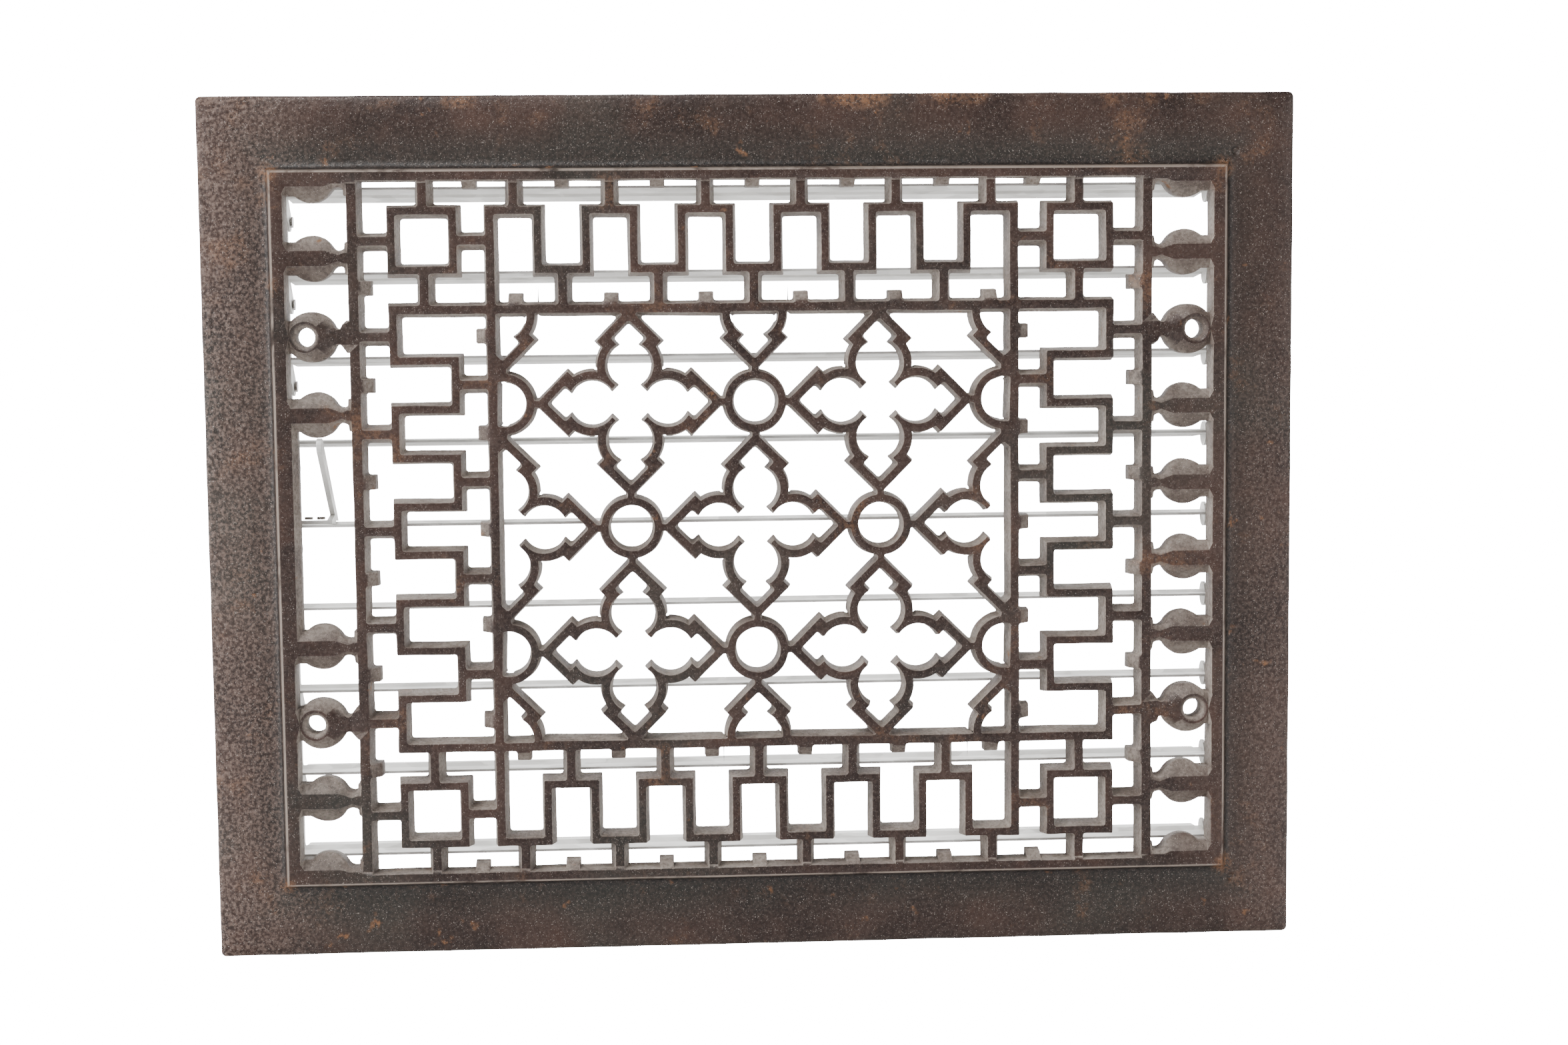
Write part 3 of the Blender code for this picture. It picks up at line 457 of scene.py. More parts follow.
def contains(outline, point, slack=0.002):
    """Whether a point lies in an outline or within a slack of its edge."""
    inside = False
    u, v = point
    count = len(outline)
    for i in range(count):
        (u0, v0), (u1, v1) = outline[i], outline[(i + 1) % count]
        length = math.hypot(u1 - u0, v1 - v0)
        along = ((u - u0) * (u1 - u0) + (v - v0) * (v1 - v0)) / length ** 2
        along = min(1.0, max(0.0, along))
        if math.hypot(u - u0 - along * (u1 - u0), v - v0 - along * (v1 - v0)) <= slack:
            return True
        if (v0 > v) != (v1 > v) and u < (u1 - u0) * (v - v0) / (v1 - v0) + u0:
            inside = not inside
    return inside


class Lattice:
    """Plan of the pierced part of the face plate, with its levels and drafts."""

    def __init__(self):
        self.bars = fret_bars()
        self.stubs = fret_stubs()
        self.ties = []
        for outline in tip_ties():
            self.ties.extend(four_sides(outline))
        self.teeth = []
        for outline, axis, root, reach in dentils():
            for copy in four_sides(outline):
                self.teeth.append((copy, axis, root, reach))
        self.bobbins = bobbins()
        low = (-LIP_IN[0] - 1.0, -LEDGE_HALF)
        self.ledge = block(low, (-LIP_IN[0] + LEDGE_REACH, LEDGE_HALF))
        self.outer_cells, self.inner_cells = panel_cells()

    def level(self, point):
        """Height of the front surface at a point of the lattice."""
        if abs(point[0]) > LIP_IN[0] - 0.01 or abs(point[1]) > LIP_IN[1] - 0.01:
            return LIP_LEVEL
        if any(contains(bar, point) for bar in self.bars):
            return LATTICE_LEVEL
        for outline, axis, root, reach in self.teeth:
            if contains(outline, point):
                return LATTICE_LEVEL - DENTIL_DROP * abs(abs(point[axis]) - root) / reach
        for outline, side, v, ear in self.bobbins:
            if contains(outline, point):
                fall = abs(point[1] - v) - ridge_half(side * point[0])
                if ear:
                    reach = math.hypot(point[0] - side * EAR_HOLE_U, point[1] - v) - SINK_RADIUS - 0.4
                    fall = min(fall, reach)
                return LATTICE_LEVEL - ROOF_SLOPE * max(0.0, fall)
        if contains(self.ledge, point):
            along = (point[0] + LIP_IN[0]) / LEDGE_REACH
            return LEDGE_LEVELS[0] + (LEDGE_LEVELS[1] - LEDGE_LEVELS[0]) * along
        return LATTICE_LEVEL

    def draft(self, start, end):
        """How far one side of an opening leans inwards between front and back."""
        middle = ((start[0] + end[0]) / 2.0, (start[1] + end[1]) / 2.0)
        outside = abs(middle[0]) - SIDE_BAR_U - SIDE_BAR / 2.0
        if outside > 0.02 or abs(middle[1]) > LIP_IN[1] - 0.02:
            return 0.0
        if any(contains(tooth[0], middle) for tooth in self.teeth):
            return DENTIL_DRAFT
        if any(contains(stub, middle) for stub in self.stubs):
            return STUB_DRAFT
        if abs(middle[0]) < PANEL[0] - 2.0 and abs(middle[1]) < PANEL[1] - 2.0:
            return FOIL_DRAFT
        return BAR_DRAFT

    def openings(self):
        """Front outlines of every opening through the lattice."""
        field = block((-LIP_IN[0], -LIP_IN[1]), LIP_IN)
        riser = riser_outline()
        panel = block((-PANEL[0], -PANEL[1]), PANEL)
        solids = self.bars + self.stubs + self.ties + [tooth[0] for tooth in self.teeth]
        solids += [bobbin[0] for bobbin in self.bobbins] + [self.ledge]
        shapes = [field, panel] + solids + self.outer_cells + self.inner_cells + [riser]
        first_cell = 2 + len(solids)
        first_hole = first_cell + len(self.outer_cells)
        last_hole = first_hole + len(self.inner_cells)
        points, triangles, owners = triangulate(shapes)
        void = []
        for triangle, owner in zip(triangles, owners):
            if 0 not in owner:
                continue
            solid = any(2 <= k < first_cell for k in owner)
            if 1 in owner and any(first_cell <= k < first_hole for k in owner):
                solid = solid or not any(first_hole <= k < last_hole for k in owner)
            if not solid:
                void.append(triangle)
        loops = []
        for loop in edge_loops(points, void):
            if area(loop) > SMALLEST_OPENING:
                loops.append(without_short_sides(self.without_straight_points(loop)))
        return loops

    def without_straight_points(self, loop):
        """Drop the points of a loop that lie on a straight, even stretch."""
        kept = list(loop)
        i = 0
        while i < len(kept):
            before, here, after = kept[i - 1], kept[i], kept[(i + 1) % len(kept)]
            span_u = after[0] - before[0]
            span_v = after[1] - before[1]
            span = math.hypot(span_u, span_v)
            cross = span_u * (here[1] - before[1]) - span_v * (here[0] - before[0])
            along = math.hypot(here[0] - before[0], here[1] - before[1]) / span
            level = self.level(before) + (self.level(after) - self.level(before)) * along
            if abs(cross) / span < 0.004 and abs(level - self.level(here)) < 0.01:
                del kept[i]
            else:
                i += 1
        return kept


def area(outline):
    """Area of an outline, positive when it runs anticlockwise."""
    total = 0.0
    for i in range(len(outline)):
        (u0, v0), (u1, v1) = outline[i - 1], outline[i]
        total += (u0 * v1 - u1 * v0) / 2.0
    return total


def without_short_sides(loop):
    """Merge the ends of a loop's very short sides."""
    kept = []
    for point in loop:
        if not kept or math.dist(kept[-1], point) >= SHORTEST_SIDE:
            kept.append(point)
    if math.dist(kept[-1], kept[0]) < SHORTEST_SIDE:
        kept.pop()
    return kept


def tip_ties():
    """Short bridges that join the quatrefoils' tips to the rings, in one quarter."""
    near, far, width = TIP_TIE
    half = width / 2.0
    ties = []
    for i in range(3):
        for j in range(2):
            if (i + j) % 2 == 1:
                continue
            centre = (CELL * i, CELL * j)
            ties.append(shifted(block((near, -half), (far, half)), centre))
            ties.append(shifted(block((-far, -half), (-near, half)), centre))
            ties.append(shifted(block((-half, near), (half, far)), centre))
            ties.append(shifted(block((-half, -far), (half, -near)), centre))
    for i in (0, 2):
        ties.append(shifted(block((-half, -far), (half, -near)), (CELL * i, CELL * 2)))
    inside = []
    for tie in ties:
        middle = ((tie[0][0] + tie[2][0]) / 2.0, (tie[0][1] + tie[2][1]) / 2.0)
        if -0.1 < middle[0] < PANEL[0] and -0.1 < middle[1] < PANEL[1]:
            inside.append(tie)
    return inside


def riser_outline():
    """Line round the lattice where its front starts to rise to the lip."""
    half_u = LIP_IN[0] - RISER
    half_v = LIP_IN[1] - RISER
    return block((-half_u, -half_v), (half_u, half_v))


def triangulate(shapes, lines=()):
    """Triangles of overlapping outlines, with the outlines that each one lies in."""
    points = []
    faces = []
    edges = []
    for shape in shapes:
        first = len(points)
        points.extend(Vector(p) for p in shape)
        faces.append(list(range(first, len(points))))
    for line in lines:
        first = len(points)
        points.extend(Vector(p) for p in line)
        edges.extend((first + i, first + i + 1) for i in range(len(line) - 1))
    result = delaunay_2d_cdt(points, edges, faces, 1, 1e-5, True)
    return [tuple(p) for p in result[0]], result[2], result[5]


def edge_loops(points, triangles):
    """Anticlockwise boundary loops of a set of triangles."""
    edges = set()
    for triangle in triangles:
        count = len(triangle)
        for i in range(count):
            edges.add((triangle[i], triangle[(i + 1) % count]))
    follow = {a: b for a, b in edges if (b, a) not in edges}
    loops = []
    while follow:
        start = next(iter(follow))
        loop = [start]
        step = follow.pop(start)
        while step != start:
            loop.append(step)
            step = follow.pop(step)
        loops.append([points[k] for k in loop])
    return loops


def inset(loop, distances):
    """Move each side of an anticlockwise loop inwards by its own distance."""
    count = len(loop)
    normals = []
    for i in range(count):
        (u0, v0), (u1, v1) = loop[i], loop[(i + 1) % count]
        length = math.hypot(u1 - u0, v1 - v0)
        normals.append((-(v1 - v0) / length, (u1 - u0) / length))
    moved = []
    for i in range(count):
        (a0, a1), (b0, b1) = normals[i - 1], normals[i]
        da, db = distances[i - 1], distances[i]
        turn = a0 * b1 - a1 * b0
        if abs(turn) < 0.05:
            shift = ((a0 + b0) * (da + db) / 4.0, (a1 + b1) * (da + db) / 4.0)
        else:
            shift = ((da * b1 - db * a1) / turn, (db * a0 - da * b0) / turn)
        moved.append((loop[i][0] + shift[0], loop[i][1] + shift[1]))
    return moved


class PlateMesh:
    """Collects the points and faces of the face plate."""

    def __init__(self):
        self.points = []
        self.faces = []
        self.index = {}

    def point(self, u, v, w):
        """Index of a point, made on first use."""
        key = tuple(round(x, 4) for x in Vector((u, v, w)))
        if key not in self.index:
            self.index[key] = len(self.points)
            self.points.append(place(u, v, w))
        return self.index[key]

    def face(self, corners):
        """Add a face, unless its corners fall together."""
        distinct = []
        for corner in corners:
            if not distinct or corner != distinct[-1]:
                distinct.append(corner)
        if len(distinct) > 1 and distinct[0] == distinct[-1]:
            distinct.pop()
        if len(distinct) > 2:
            self.faces.append(distinct)

    def wall(self, upper, lower):
        """Quads between two matching closed rings of point indices."""
        count = len(upper)
        for i in range(count):
            j = (i + 1) % count
            self.face([upper[i], upper[j], lower[j], lower[i]])


def drops_beside(lattice, here, other):
    """Whether the front drops sharply just beside a corner of an opening."""
    part = 0.12 / math.dist(here[:2], other[:2])
    near = [a + (b - a) * part for a, b in zip(here[:2], other[:2])]
    return abs(lattice.level(near) - here[2]) > 0.4


def softened(lattice, front, back):
    """Round the corners of an opening's front and back outlines, point for point.

    The front's points are (u, v, w) and the back's are (u, v).
    """
    count = len(front)
    rounds = []
    for i in range(count):
        before, here, after = front[i - 1], front[i], front[(i + 1) % count]
        first = math.atan2(here[1] - before[1], here[0] - before[0])
        second = math.atan2(after[1] - here[1], after[0] - here[0])
        turn = (second - first + math.pi) % (2.0 * math.pi) - math.pi
        sharp = drops_beside(lattice, here, before) or drops_beside(lattice, here, after)
        if sharp or abs(turn) < math.radians(24.0):
            rounds.append(0.0)
        else:
            radius = INNER_FILLET if turn > 0.0 else OUTER_FILLET
            rounds.append(radius * math.tan(min(abs(turn), 2.4) / 2.0))
    return round_corners(front, rounds), round_corners(back, rounds)


def round_corners(outline, rounds):
    """Replace each corner that has a rounding by a short curve."""
    count = len(outline)
    curved = []
    for i in range(count):
        before, here, after = outline[i - 1], outline[i], outline[(i + 1) % count]
        if rounds[i] == 0.0:
            curved.append(here)
            continue
        sides = []
        for other in (before, after):
            length = math.hypot(other[0] - here[0], other[1] - here[1])
            part = min(rounds[i] / max(length, 0.001), 0.42)
            sides.append([a + (b - a) * part for a, b in zip(here, other)])
        for k in range(FILLET_STEPS + 1):
            t = k / FILLET_STEPS
            near = (1.0 - t) ** 2
            middle = 2.0 * t * (1.0 - t)
            curved.append(tuple(near * a + middle * b + t * t * c for a, b, c in zip(sides[0], here, sides[1])))
    return curved


def divided(lattice, front, back):
    """Split the long sides of both outlines into matching short ones."""
    fine_front = []
    fine_back = []
    count = len(front)
    for i in range(count):
        j = (i + 1) % count
        length = math.hypot(front[j][0] - front[i][0], front[j][1] - front[i][1])
        parts = max(1, math.ceil(length / LONGEST_SIDE))
        for k in range(parts):
            t = k / parts
            point = tuple(a + (b - a) * t for a, b in zip(front[i], front[j]))
            if k > 0 and abs(lattice.level(point[:2]) - point[2]) > 0.3:
                point = (*point[:2], lattice.level(point[:2]))
            fine_front.append(point)
            fine_back.append(tuple(a + (b - a) * t for a, b in zip(back[i], back[j])))
    return fine_front, fine_back


def crosses(a, b, c, d):
    """Whether two lines between points cross."""
    sides = []
    for p, q, r in ((a, b, c), (a, b, d), (c, d, a), (c, d, b)):
        sides.append((q[0] - p[0]) * (r[1] - p[1]) - (q[1] - p[1]) * (r[0] - p[0]))
    return sides[0] * sides[1] < 0.0 and sides[2] * sides[3] < 0.0


def untangled(outline, source):
    """The outline, drawn back towards its source wherever it crosses itself."""
    count = len(outline)
    for _ in range(UNTANGLE_PASSES):
        caught = set()
        for i in range(count):
            for gap in range(2, min(UNTANGLE_REACH, count - 1)):
                j = (i + gap) % count
                if crosses(outline[i], outline[(i + 1) % count], outline[j], outline[(j + 1) % count]):
                    caught.update((i + k) % count for k in range(gap + 2))
        if not caught:
            break
        outline = list(outline)
        for i in caught:
            outline[i] = tuple((a + b) / 2.0 for a, b in zip(outline[i], source[i]))
    return outline


def edge_rings(lattice, front, back, edge):
    """Rings from the front surface over the rounded edge and down the side to the back."""
    plan = [(p[0], p[1]) for p in front]
    levels = [p[2] for p in front]
    count = len(front)
    top = inset(plan, [-edge] * count)
    top_levels = []
    for p, w in zip(top, levels):
        raised = lattice.level(p)
        top_levels.append(raised if 0.0 < raised - w < 0.6 else w)
    shoulder = inset(plan, [-edge * 0.3] * count)
    rings = [(top, top_levels), (shoulder, [w - edge * 0.3 for w in levels])]
    rings.append((plan, [w - edge for w in levels]))
    foot = LATTICE_BACK + edge
    back = untangled(back, plan)
    for part in (0.5, 1.0):
        outline = [(a[0] + (b[0] - a[0]) * part, a[1] + (b[1] - a[1]) * part) for a, b in zip(plan, back)]
        rings.append((outline, [w - edge + (foot - w + edge) * part for w in levels]))
    rings.append((untangled(inset(back, [-edge * 0.8] * count), back), [LATTICE_BACK] * count))
    return rings


def opening_rings(lattice, edge):
    """Every opening of the casting as rings from the front to the back."""
    holes = []
    for loop in lattice.openings():
        count = len(loop)
        drafts = [lattice.draft(loop[i], loop[(i + 1) % count]) for i in range(count)]
        back = inset(loop, drafts)
        front = [(p[0], p[1], lattice.level(p)) for p in loop]
        front, back = softened(lattice, front, back)
        front, back = divided(lattice, front, back)
        holes.append(edge_rings(lattice, front, back, edge))
    for _, side, v, ear in lattice.bobbins:
        if ear:
            holes.append(screw_hole_rings((side * EAR_HOLE_U, v)))
    return holes


def screw_hole_rings(centre):
    """Countersunk hole of an ear, from the front to the back."""
    profile = (
        (SINK_RADIUS, LATTICE_LEVEL),
        (SINK_RADIUS - 0.3, LATTICE_LEVEL - 0.12),
        (EAR_HOLE_RADIUS + 0.25, SINK_FLOOR + 0.15),
        (EAR_HOLE_RADIUS, SINK_FLOOR - 0.2),
        (EAR_HOLE_RADIUS, LATTICE_BACK + 0.3),
        (EAR_HOLE_RADIUS + 0.25, LATTICE_BACK),
    )
    rings = []
    for radius, level in profile:
        outline = circle(centre, radius, 40)
        rings.append((outline, [level] * len(outline)))
    return rings


def rectangle_ring(half_u, half_v, rounding):
    """Rectangle with even points along its sides and rounded corners."""
    ring = []
    corners = ((-1, -1), (1, -1), (1, 1), (-1, 1))
    for k in range(4):
        start, end = corners[k], corners[(k + 1) % 4]
        first = corner_point(start, half_u, half_v, rounding, k)
        last = corner_point(end, half_u, half_v, rounding, k)
        for i in range(SIDE_STEPS + 1):
            t = i / SIDE_STEPS
            ring.append((first[0] + (last[0] - first[0]) * t, first[1] + (last[1] - first[1]) * t))
        if rounding > 0.0:
            centre = (end[0] * (half_u - rounding), end[1] * (half_v - rounding))
            ring.extend(arc(centre, rounding, 90.0 * k - 90.0, 90.0 * k, 4)[1:-1])
        else:
            ring.extend([last] * 3)
    return ring


def corner_point(corner, half_u, half_v, rounding, side):
    """End of a straight side at a corner that may be rounded."""
    trim_u = rounding if side % 2 == 0 else 0.0
    trim_v = rounding if side % 2 == 1 else 0.0
    return (corner[0] * (half_u - trim_u), corner[1] * (half_v - trim_v))


def front_creases(lattice):
    """Lines along which the lattice's front surface bends."""
    lines = []
    for _, side, v, ear in lattice.bobbins:
        if ear:
            ring = circle((side * EAR_HOLE_U, v), SINK_RADIUS + 0.4, 40)
            lines.append(ring + ring[:1])
        else:
            lines.extend(ridge_lines(side, v))
    for outline, axis, root, _ in lattice.teeth:
        first, last = [Vector(p) for p in outline if abs(abs(p[axis]) - root) < 0.01]
        trim = (last - first).normalized() * CREASE_TRIM
        lines.append([tuple(first + trim), tuple(last - trim)])
    riser = riser_outline()
    lines.append(riser + riser[:1])
    return lines


def add_front(plate, lattice, holes, border):
    """Front surface of the lattice and the lip."""
    outlines = [rings[0][0] for rings in holes]
    points, triangles, owners = triangulate([border] + outlines, front_creases(lattice))
    levels = {}
    for outline, heights in (rings[0] for rings in holes):
        for p, w in zip(outline, heights):
            levels[Vector(p).to_tuple(3)] = w
    for triangle, owner in zip(triangles, owners):
        if owner != [0]:
            continue
        corners = []
        for k in triangle:
            p = points[k]
            w = levels.get(Vector(p).to_tuple(3))
            corners.append(plate.point(*p, lattice.level(p) if w is None else w))
        plate.face(corners)


def add_back(plate, holes, border):
    """Back of the lattice, the flat ring round it and the four screw bosses."""
    step = block((-STEP_HALF[0], -STEP_HALF[1]), STEP_HALF)
    points, triangles, owners = triangulate([step] + [rings[-1][0] for rings in holes])
    for triangle, owner in zip(triangles, owners):
        if owner == [0]:
            plate.face([plate.point(*points[k], LATTICE_BACK) for k in reversed(triangle)])
    lower = [plate.point(*p, LATTICE_BACK) for p in step]
    plate.wall(lower, [plate.point(*p, SEAT_LEVEL) for p in step])
    bosses = []
    for sign_u in (1, -1):
        for sign_v in (1, -1):
            centre = (sign_u * SCREW_UV[0], sign_v * SCREW_UV[1])
            bosses.append((circle(centre, BOSS_RADIUS, 32), circle(centre, SCREW_HOLE_RADIUS, 32)))
    seat = block((-SEAT_HALF[0], -SEAT_HALF[1]), SEAT_HALF)
    points, triangles, owners = triangulate([border, seat, step] + [boss[0] for boss in bosses])
    for triangle, owner in zip(triangles, owners):
        if max(owner) < 2:
            level = SEAT_LEVEL if 1 in owner else 0.0
            plate.face([plate.point(*points[k], level) for k in reversed(triangle)])
    recess = [plate.point(*p, SEAT_LEVEL) for p in seat]
    plate.wall(recess, [plate.point(*p, 0.0) for p in seat])
    for boss, socket in bosses:
        root = [plate.point(*p, SEAT_LEVEL) for p in boss]
        end = [plate.point(*p, BOSS_END) for p in boss]
        mouth = [plate.point(*p, BOSS_END) for p in socket]
        floor = [plate.point(*p, SCREW_HOLE_TOP) for p in socket]
        plate.wall(end, root)
        plate.wall(mouth, end)
        plate.wall(floor, mouth)
        plate.face(list(reversed(floor)))


def wavered(points, amount):
    """Shift points a little, as a sand mould leaves them."""
    noise.seed_set(WAVER_SEED)
    moved = []
    for p in points:
        slow = noise.noise_vector(p * 70.0) * 0.7
        quick = noise.noise_vector(p * 330.0 + Vector((3.0, 7.0, 1.0))) * 0.3
        moved.append(p + (slow + quick) * amount * MM)
    return moved


def casting_mesh(edge, waver):
    """The face plate with soft edges and slightly uneven surfaces."""
    lattice = Lattice()
    plate = PlateMesh()
    holes = opening_rings(lattice, edge)
    rims = []
    for half_u, half_v, w in RIM_RINGS:
        rounding = CORNER_ROUNDING if half_u > 176.0 else 0.0
        ring = rectangle_ring(half_u, half_v, rounding)
        rims.append(([plate.point(*p, w) for p in ring], ring))
    clean = [dedupe(rims[0][1]), dedupe(rims[-1][1])]
    add_front(plate, lattice, holes, clean[0])
    for rings in holes:
        indices = [[plate.point(*p, w) for p, w in zip(*ring)] for ring in rings]
        for upper, lower in zip(indices, indices[1:]):
            plate.wall(upper, lower)
    for inner, outer in zip(rims, rims[1:]):
        plate.wall(outer[0], inner[0])
    add_back(plate, holes, clean[1])
    return mesh_from("register_face", wavered(plate.points, waver), plate.faces)


def dedupe(ring):
    """The ring without repeated points."""
    kept = [ring[0]]
    for p in ring[1:]:
        if math.dist(p, kept[-1]) > 0.001:
            kept.append(p)
    if math.dist(kept[-1], kept[0]) < 0.001:
        kept.pop()
    return kept


class Nodes:
    """Short way to add linked nodes to a tree."""

    def __init__(self, tree):
        self.tree = tree

    def add(self, kind, inputs=(), **settings):
        """A node with its settings; inputs are (socket name or index, value or output)."""
        node = self.tree.nodes.new(kind)
        for key, value in settings.items():
            setattr(node, key, value)
        for socket, value in inputs:
            self.feed(node.inputs[socket], value)
        return node

    def feed(self, socket, value):
        """Link an output to a socket, or set the socket's value."""
        if isinstance(value, bpy.types.NodeSocket):
            self.tree.links.new(value, socket)
        else:
            socket.default_value = value

    def maths(self, operation, first, second=0.0, third=0.0, clamp=False):
        """Output of a Math node."""
        inputs = [(0, first), (1, second), (2, third)]
        node = self.add("ShaderNodeMath", inputs, operation=operation, use_clamp=clamp)
        return node.outputs[0]

    def fade(self, value, low, high):
        """0 below low and 1 above high, smooth between."""
        inputs = [("Value", value), ("From Min", low), ("From Max", high)]
        node = self.add("ShaderNodeMapRange", inputs, interpolation_type="SMOOTHSTEP")
        return node.outputs["Result"]

    def noise(self, vector, scale, detail=4.0, rough=0.55, distortion=0.0):
        """Value of a noise texture."""
        inputs = [("Vector", vector), ("Scale", scale), ("Detail", detail), ("Roughness", rough)]
        inputs.append(("Distortion", distortion))
        return self.add("ShaderNodeTexNoise", inputs).outputs["Fac"]

    def mix(self, factor, first, second):
        """Mix of two colours."""
        node = self.add("ShaderNodeMix", data_type="RGBA")
        self.feed(node.inputs["Factor"], factor)
        self.feed(node.inputs[6], first)
        self.feed(node.inputs[7], second)
        return node.outputs[2]

    def split(self, vector):
        """The three values of a vector."""
        return self.add("ShaderNodeSeparateXYZ", [(0, vector)]).outputs


def group_tree(name, inputs, outputs):
    """New shader node group; inputs and outputs are (name, socket type)."""
    tree = bpy.data.node_groups.new(name, "ShaderNodeTree")
    for label, kind in inputs:
        tree.interface.new_socket(label, in_out="INPUT", socket_type=kind)
    for label, kind in outputs:
        tree.interface.new_socket(label, in_out="OUTPUT", socket_type=kind)
    start = tree.nodes.new("NodeGroupInput")
    end = tree.nodes.new("NodeGroupOutput")
    return tree, Nodes(tree), start, end


def iron_group():
    """Colour, roughness and height of aged brown cast iron."""
    tree, n, start, end = group_tree(
        "aged_iron",
        [("Place", "NodeSocketVector"), ("Facing", "NodeSocketFloat"), ("Rust", "NodeSocketFloat"),
         ("Grain", "NodeSocketFloat")],
        [("Colour", "NodeSocketColor"), ("Roughness", "NodeSocketFloat"), ("Height", "NodeSocketFloat"),
         ("Metal", "NodeSocketFloat")],
    )
    place_out = start.outputs["Place"]
    x, y, z = n.split(place_out)
    cloud = n.noise(place_out, 22.0, 5.0, 0.6, 0.4)
    blotch = n.noise(place_out, 75.0, 6.0, 0.62)
    grit = n.noise(place_out, 900.0, 5.0, 0.62)
    speck = n.noise(place_out, 3000.0, 2.0, 0.5)
    # Distance outside the lip's outer edge, in metres
    out_u = n.maths("SUBTRACT", n.maths("ABSOLUTE", x), 0.1546)
    out_v = n.maths("SUBTRACT", n.maths("ABSOLUTE", z), 0.1159)
    out = n.maths("MAXIMUM", out_u, out_v)
    left = n.maths("MULTIPLY", n.fade(x, -0.130, -0.172), n.fade(out, 0.001, 0.003))
    # Chocolate ground with redder and olive clouds
    ground = n.mix(n.fade(cloud, 0.36, 0.64), (0.017, 0.007, 0.0047, 1.0), (0.045, 0.0225, 0.016, 1.0))
    ground = n.mix(n.maths("MULTIPLY", n.fade(blotch, 0.5, 0.75), 0.5), ground, (0.07, 0.03, 0.018, 1.0))
    olive = n.fade(n.noise(place_out, 14.0, 3.0, 0.5), 0.5, 0.68)
    ground = n.mix(n.maths("MULTIPLY", olive, 0.6), ground, (0.024, 0.026, 0.021, 1.0))
    # Painted shade in the cove at the foot of the lip: darker and greener, weaker on the left and right sides
    cove_shade = n.maths("MULTIPLY", n.fade(out, 0.0, 0.001), n.fade(out, 0.018, 0.003))
    cove_shade = n.maths("MULTIPLY", cove_shade, n.maths("MULTIPLY_ADD", n.fade(cloud, 0.35, 0.6), 0.4, 0.4))
    upright = n.fade(n.maths("SUBTRACT", out_u, out_v), -0.004, 0.004)
    cove_shade = n.maths("MULTIPLY", cove_shade, n.maths("MULTIPLY_ADD", upright, -0.6, 1.0))
    ground = n.mix(cove_shade, ground, (0.017, 0.018, 0.015, 1.0))
    # Painted shade: a darker band close to the foot of the lip's outer wall
    foot = n.maths("MULTIPLY", n.fade(out, 0.0006, 0.0012), n.fade(out, 0.0036, 0.0018))
    ground = n.mix(n.maths("MULTIPLY", foot, 0.8), ground, (0.008, 0.006, 0.005, 1.0))
    # Dusty film on the grain, heaviest on the left of the flange
    right = n.maths("MULTIPLY", n.fade(x, 0.150, 0.172), n.fade(z, 0.10, 0.02))
    amount = n.maths("MULTIPLY_ADD", left, 0.5, n.maths("MULTIPLY_ADD", right, 0.2, 0.12))
    dust = n.maths("MULTIPLY", n.fade(grit, 0.4, 0.66), amount)
    ground = n.mix(dust, ground, (0.24, 0.17, 0.14, 1.0))
    # Painted highlight: a bright line along the edges of the lip
    edge_highlight = n.maths("MULTIPLY", n.fade(out, -0.0007, -0.0003), n.fade(out, 0.0006, 0.0003))
    edge_highlight = n.maths("MULTIPLY", edge_highlight, n.fade(blotch, 0.3, 0.5))
    ground = n.mix(n.maths("MULTIPLY", edge_highlight, 0.75), ground, (0.4, 0.33, 0.28, 1.0))
    # Sides of the openings, lighter and dry: partly dust and worn edges, partly painted bounce light from the
    # bright surroundings
    facing = start.outputs["Facing"]
    side = n.fade(facing, 0.88, 0.6)
    inside_u = n.fade(n.maths("ABSOLUTE", x), 0.1535, 0.152)
    inside_v = n.fade(n.maths("ABSOLUTE", z), 0.1150, 0.1140)
    side = n.maths("MULTIPLY", side, n.maths("MULTIPLY", inside_u, inside_v))
    pale = n.mix(n.fade(blotch, 0.35, 0.65), (0.16, 0.125, 0.105, 1.0), (0.34, 0.29, 0.25, 1.0))
    side_light_and_dust = n.maths("MULTIPLY", side, n.maths("MULTIPLY_ADD", n.fade(grit, 0.35, 0.6), 0.4, 0.55))
    ground = n.mix(side_light_and_dust, ground, pale)
    # Rust in the corners of the lip, in scattered spots and along the long edges
    reach = n.maths("SQRT", n.maths("ADD", n.maths("MULTIPLY", out_u, out_u), n.maths("MULTIPLY", out_v, out_v)))
    reach = n.maths("MULTIPLY_ADD", blotch, 0.008, reach)
    corner = n.maths("MULTIPLY", n.fade(reach, 0.0085, 0.0045), 0.8)
    spots = n.fade(n.noise(place_out, 130.0, 3.0, 0.5), 0.68, 0.77)
    edge_band = n.fade(n.maths("ABSOLUTE", z), 0.1335, 0.1385)
    band = n.maths("MULTIPLY", edge_band, n.fade(n.noise(place_out, 18.0, 4.0, 0.6), 0.57, 0.68))
    traces = n.maths("MULTIPLY", n.fade(n.noise(place_out, 45.0, 6.0, 0.7), 0.55, 0.72), 0.45)
    rust = n.maths("MAXIMUM", n.maths("MAXIMUM", corner, traces), n.maths("MAXIMUM", spots, band))
    rust = n.maths("MULTIPLY", rust, n.fade(grit, 0.34, 0.56))
    rust = n.maths("MULTIPLY", rust, start.outputs["Rust"], clamp=True)
    orange = n.mix(grit, (0.09, 0.032, 0.011, 1.0), (0.3, 0.14, 0.055, 1.0))
    colour = n.mix(rust, ground, orange)
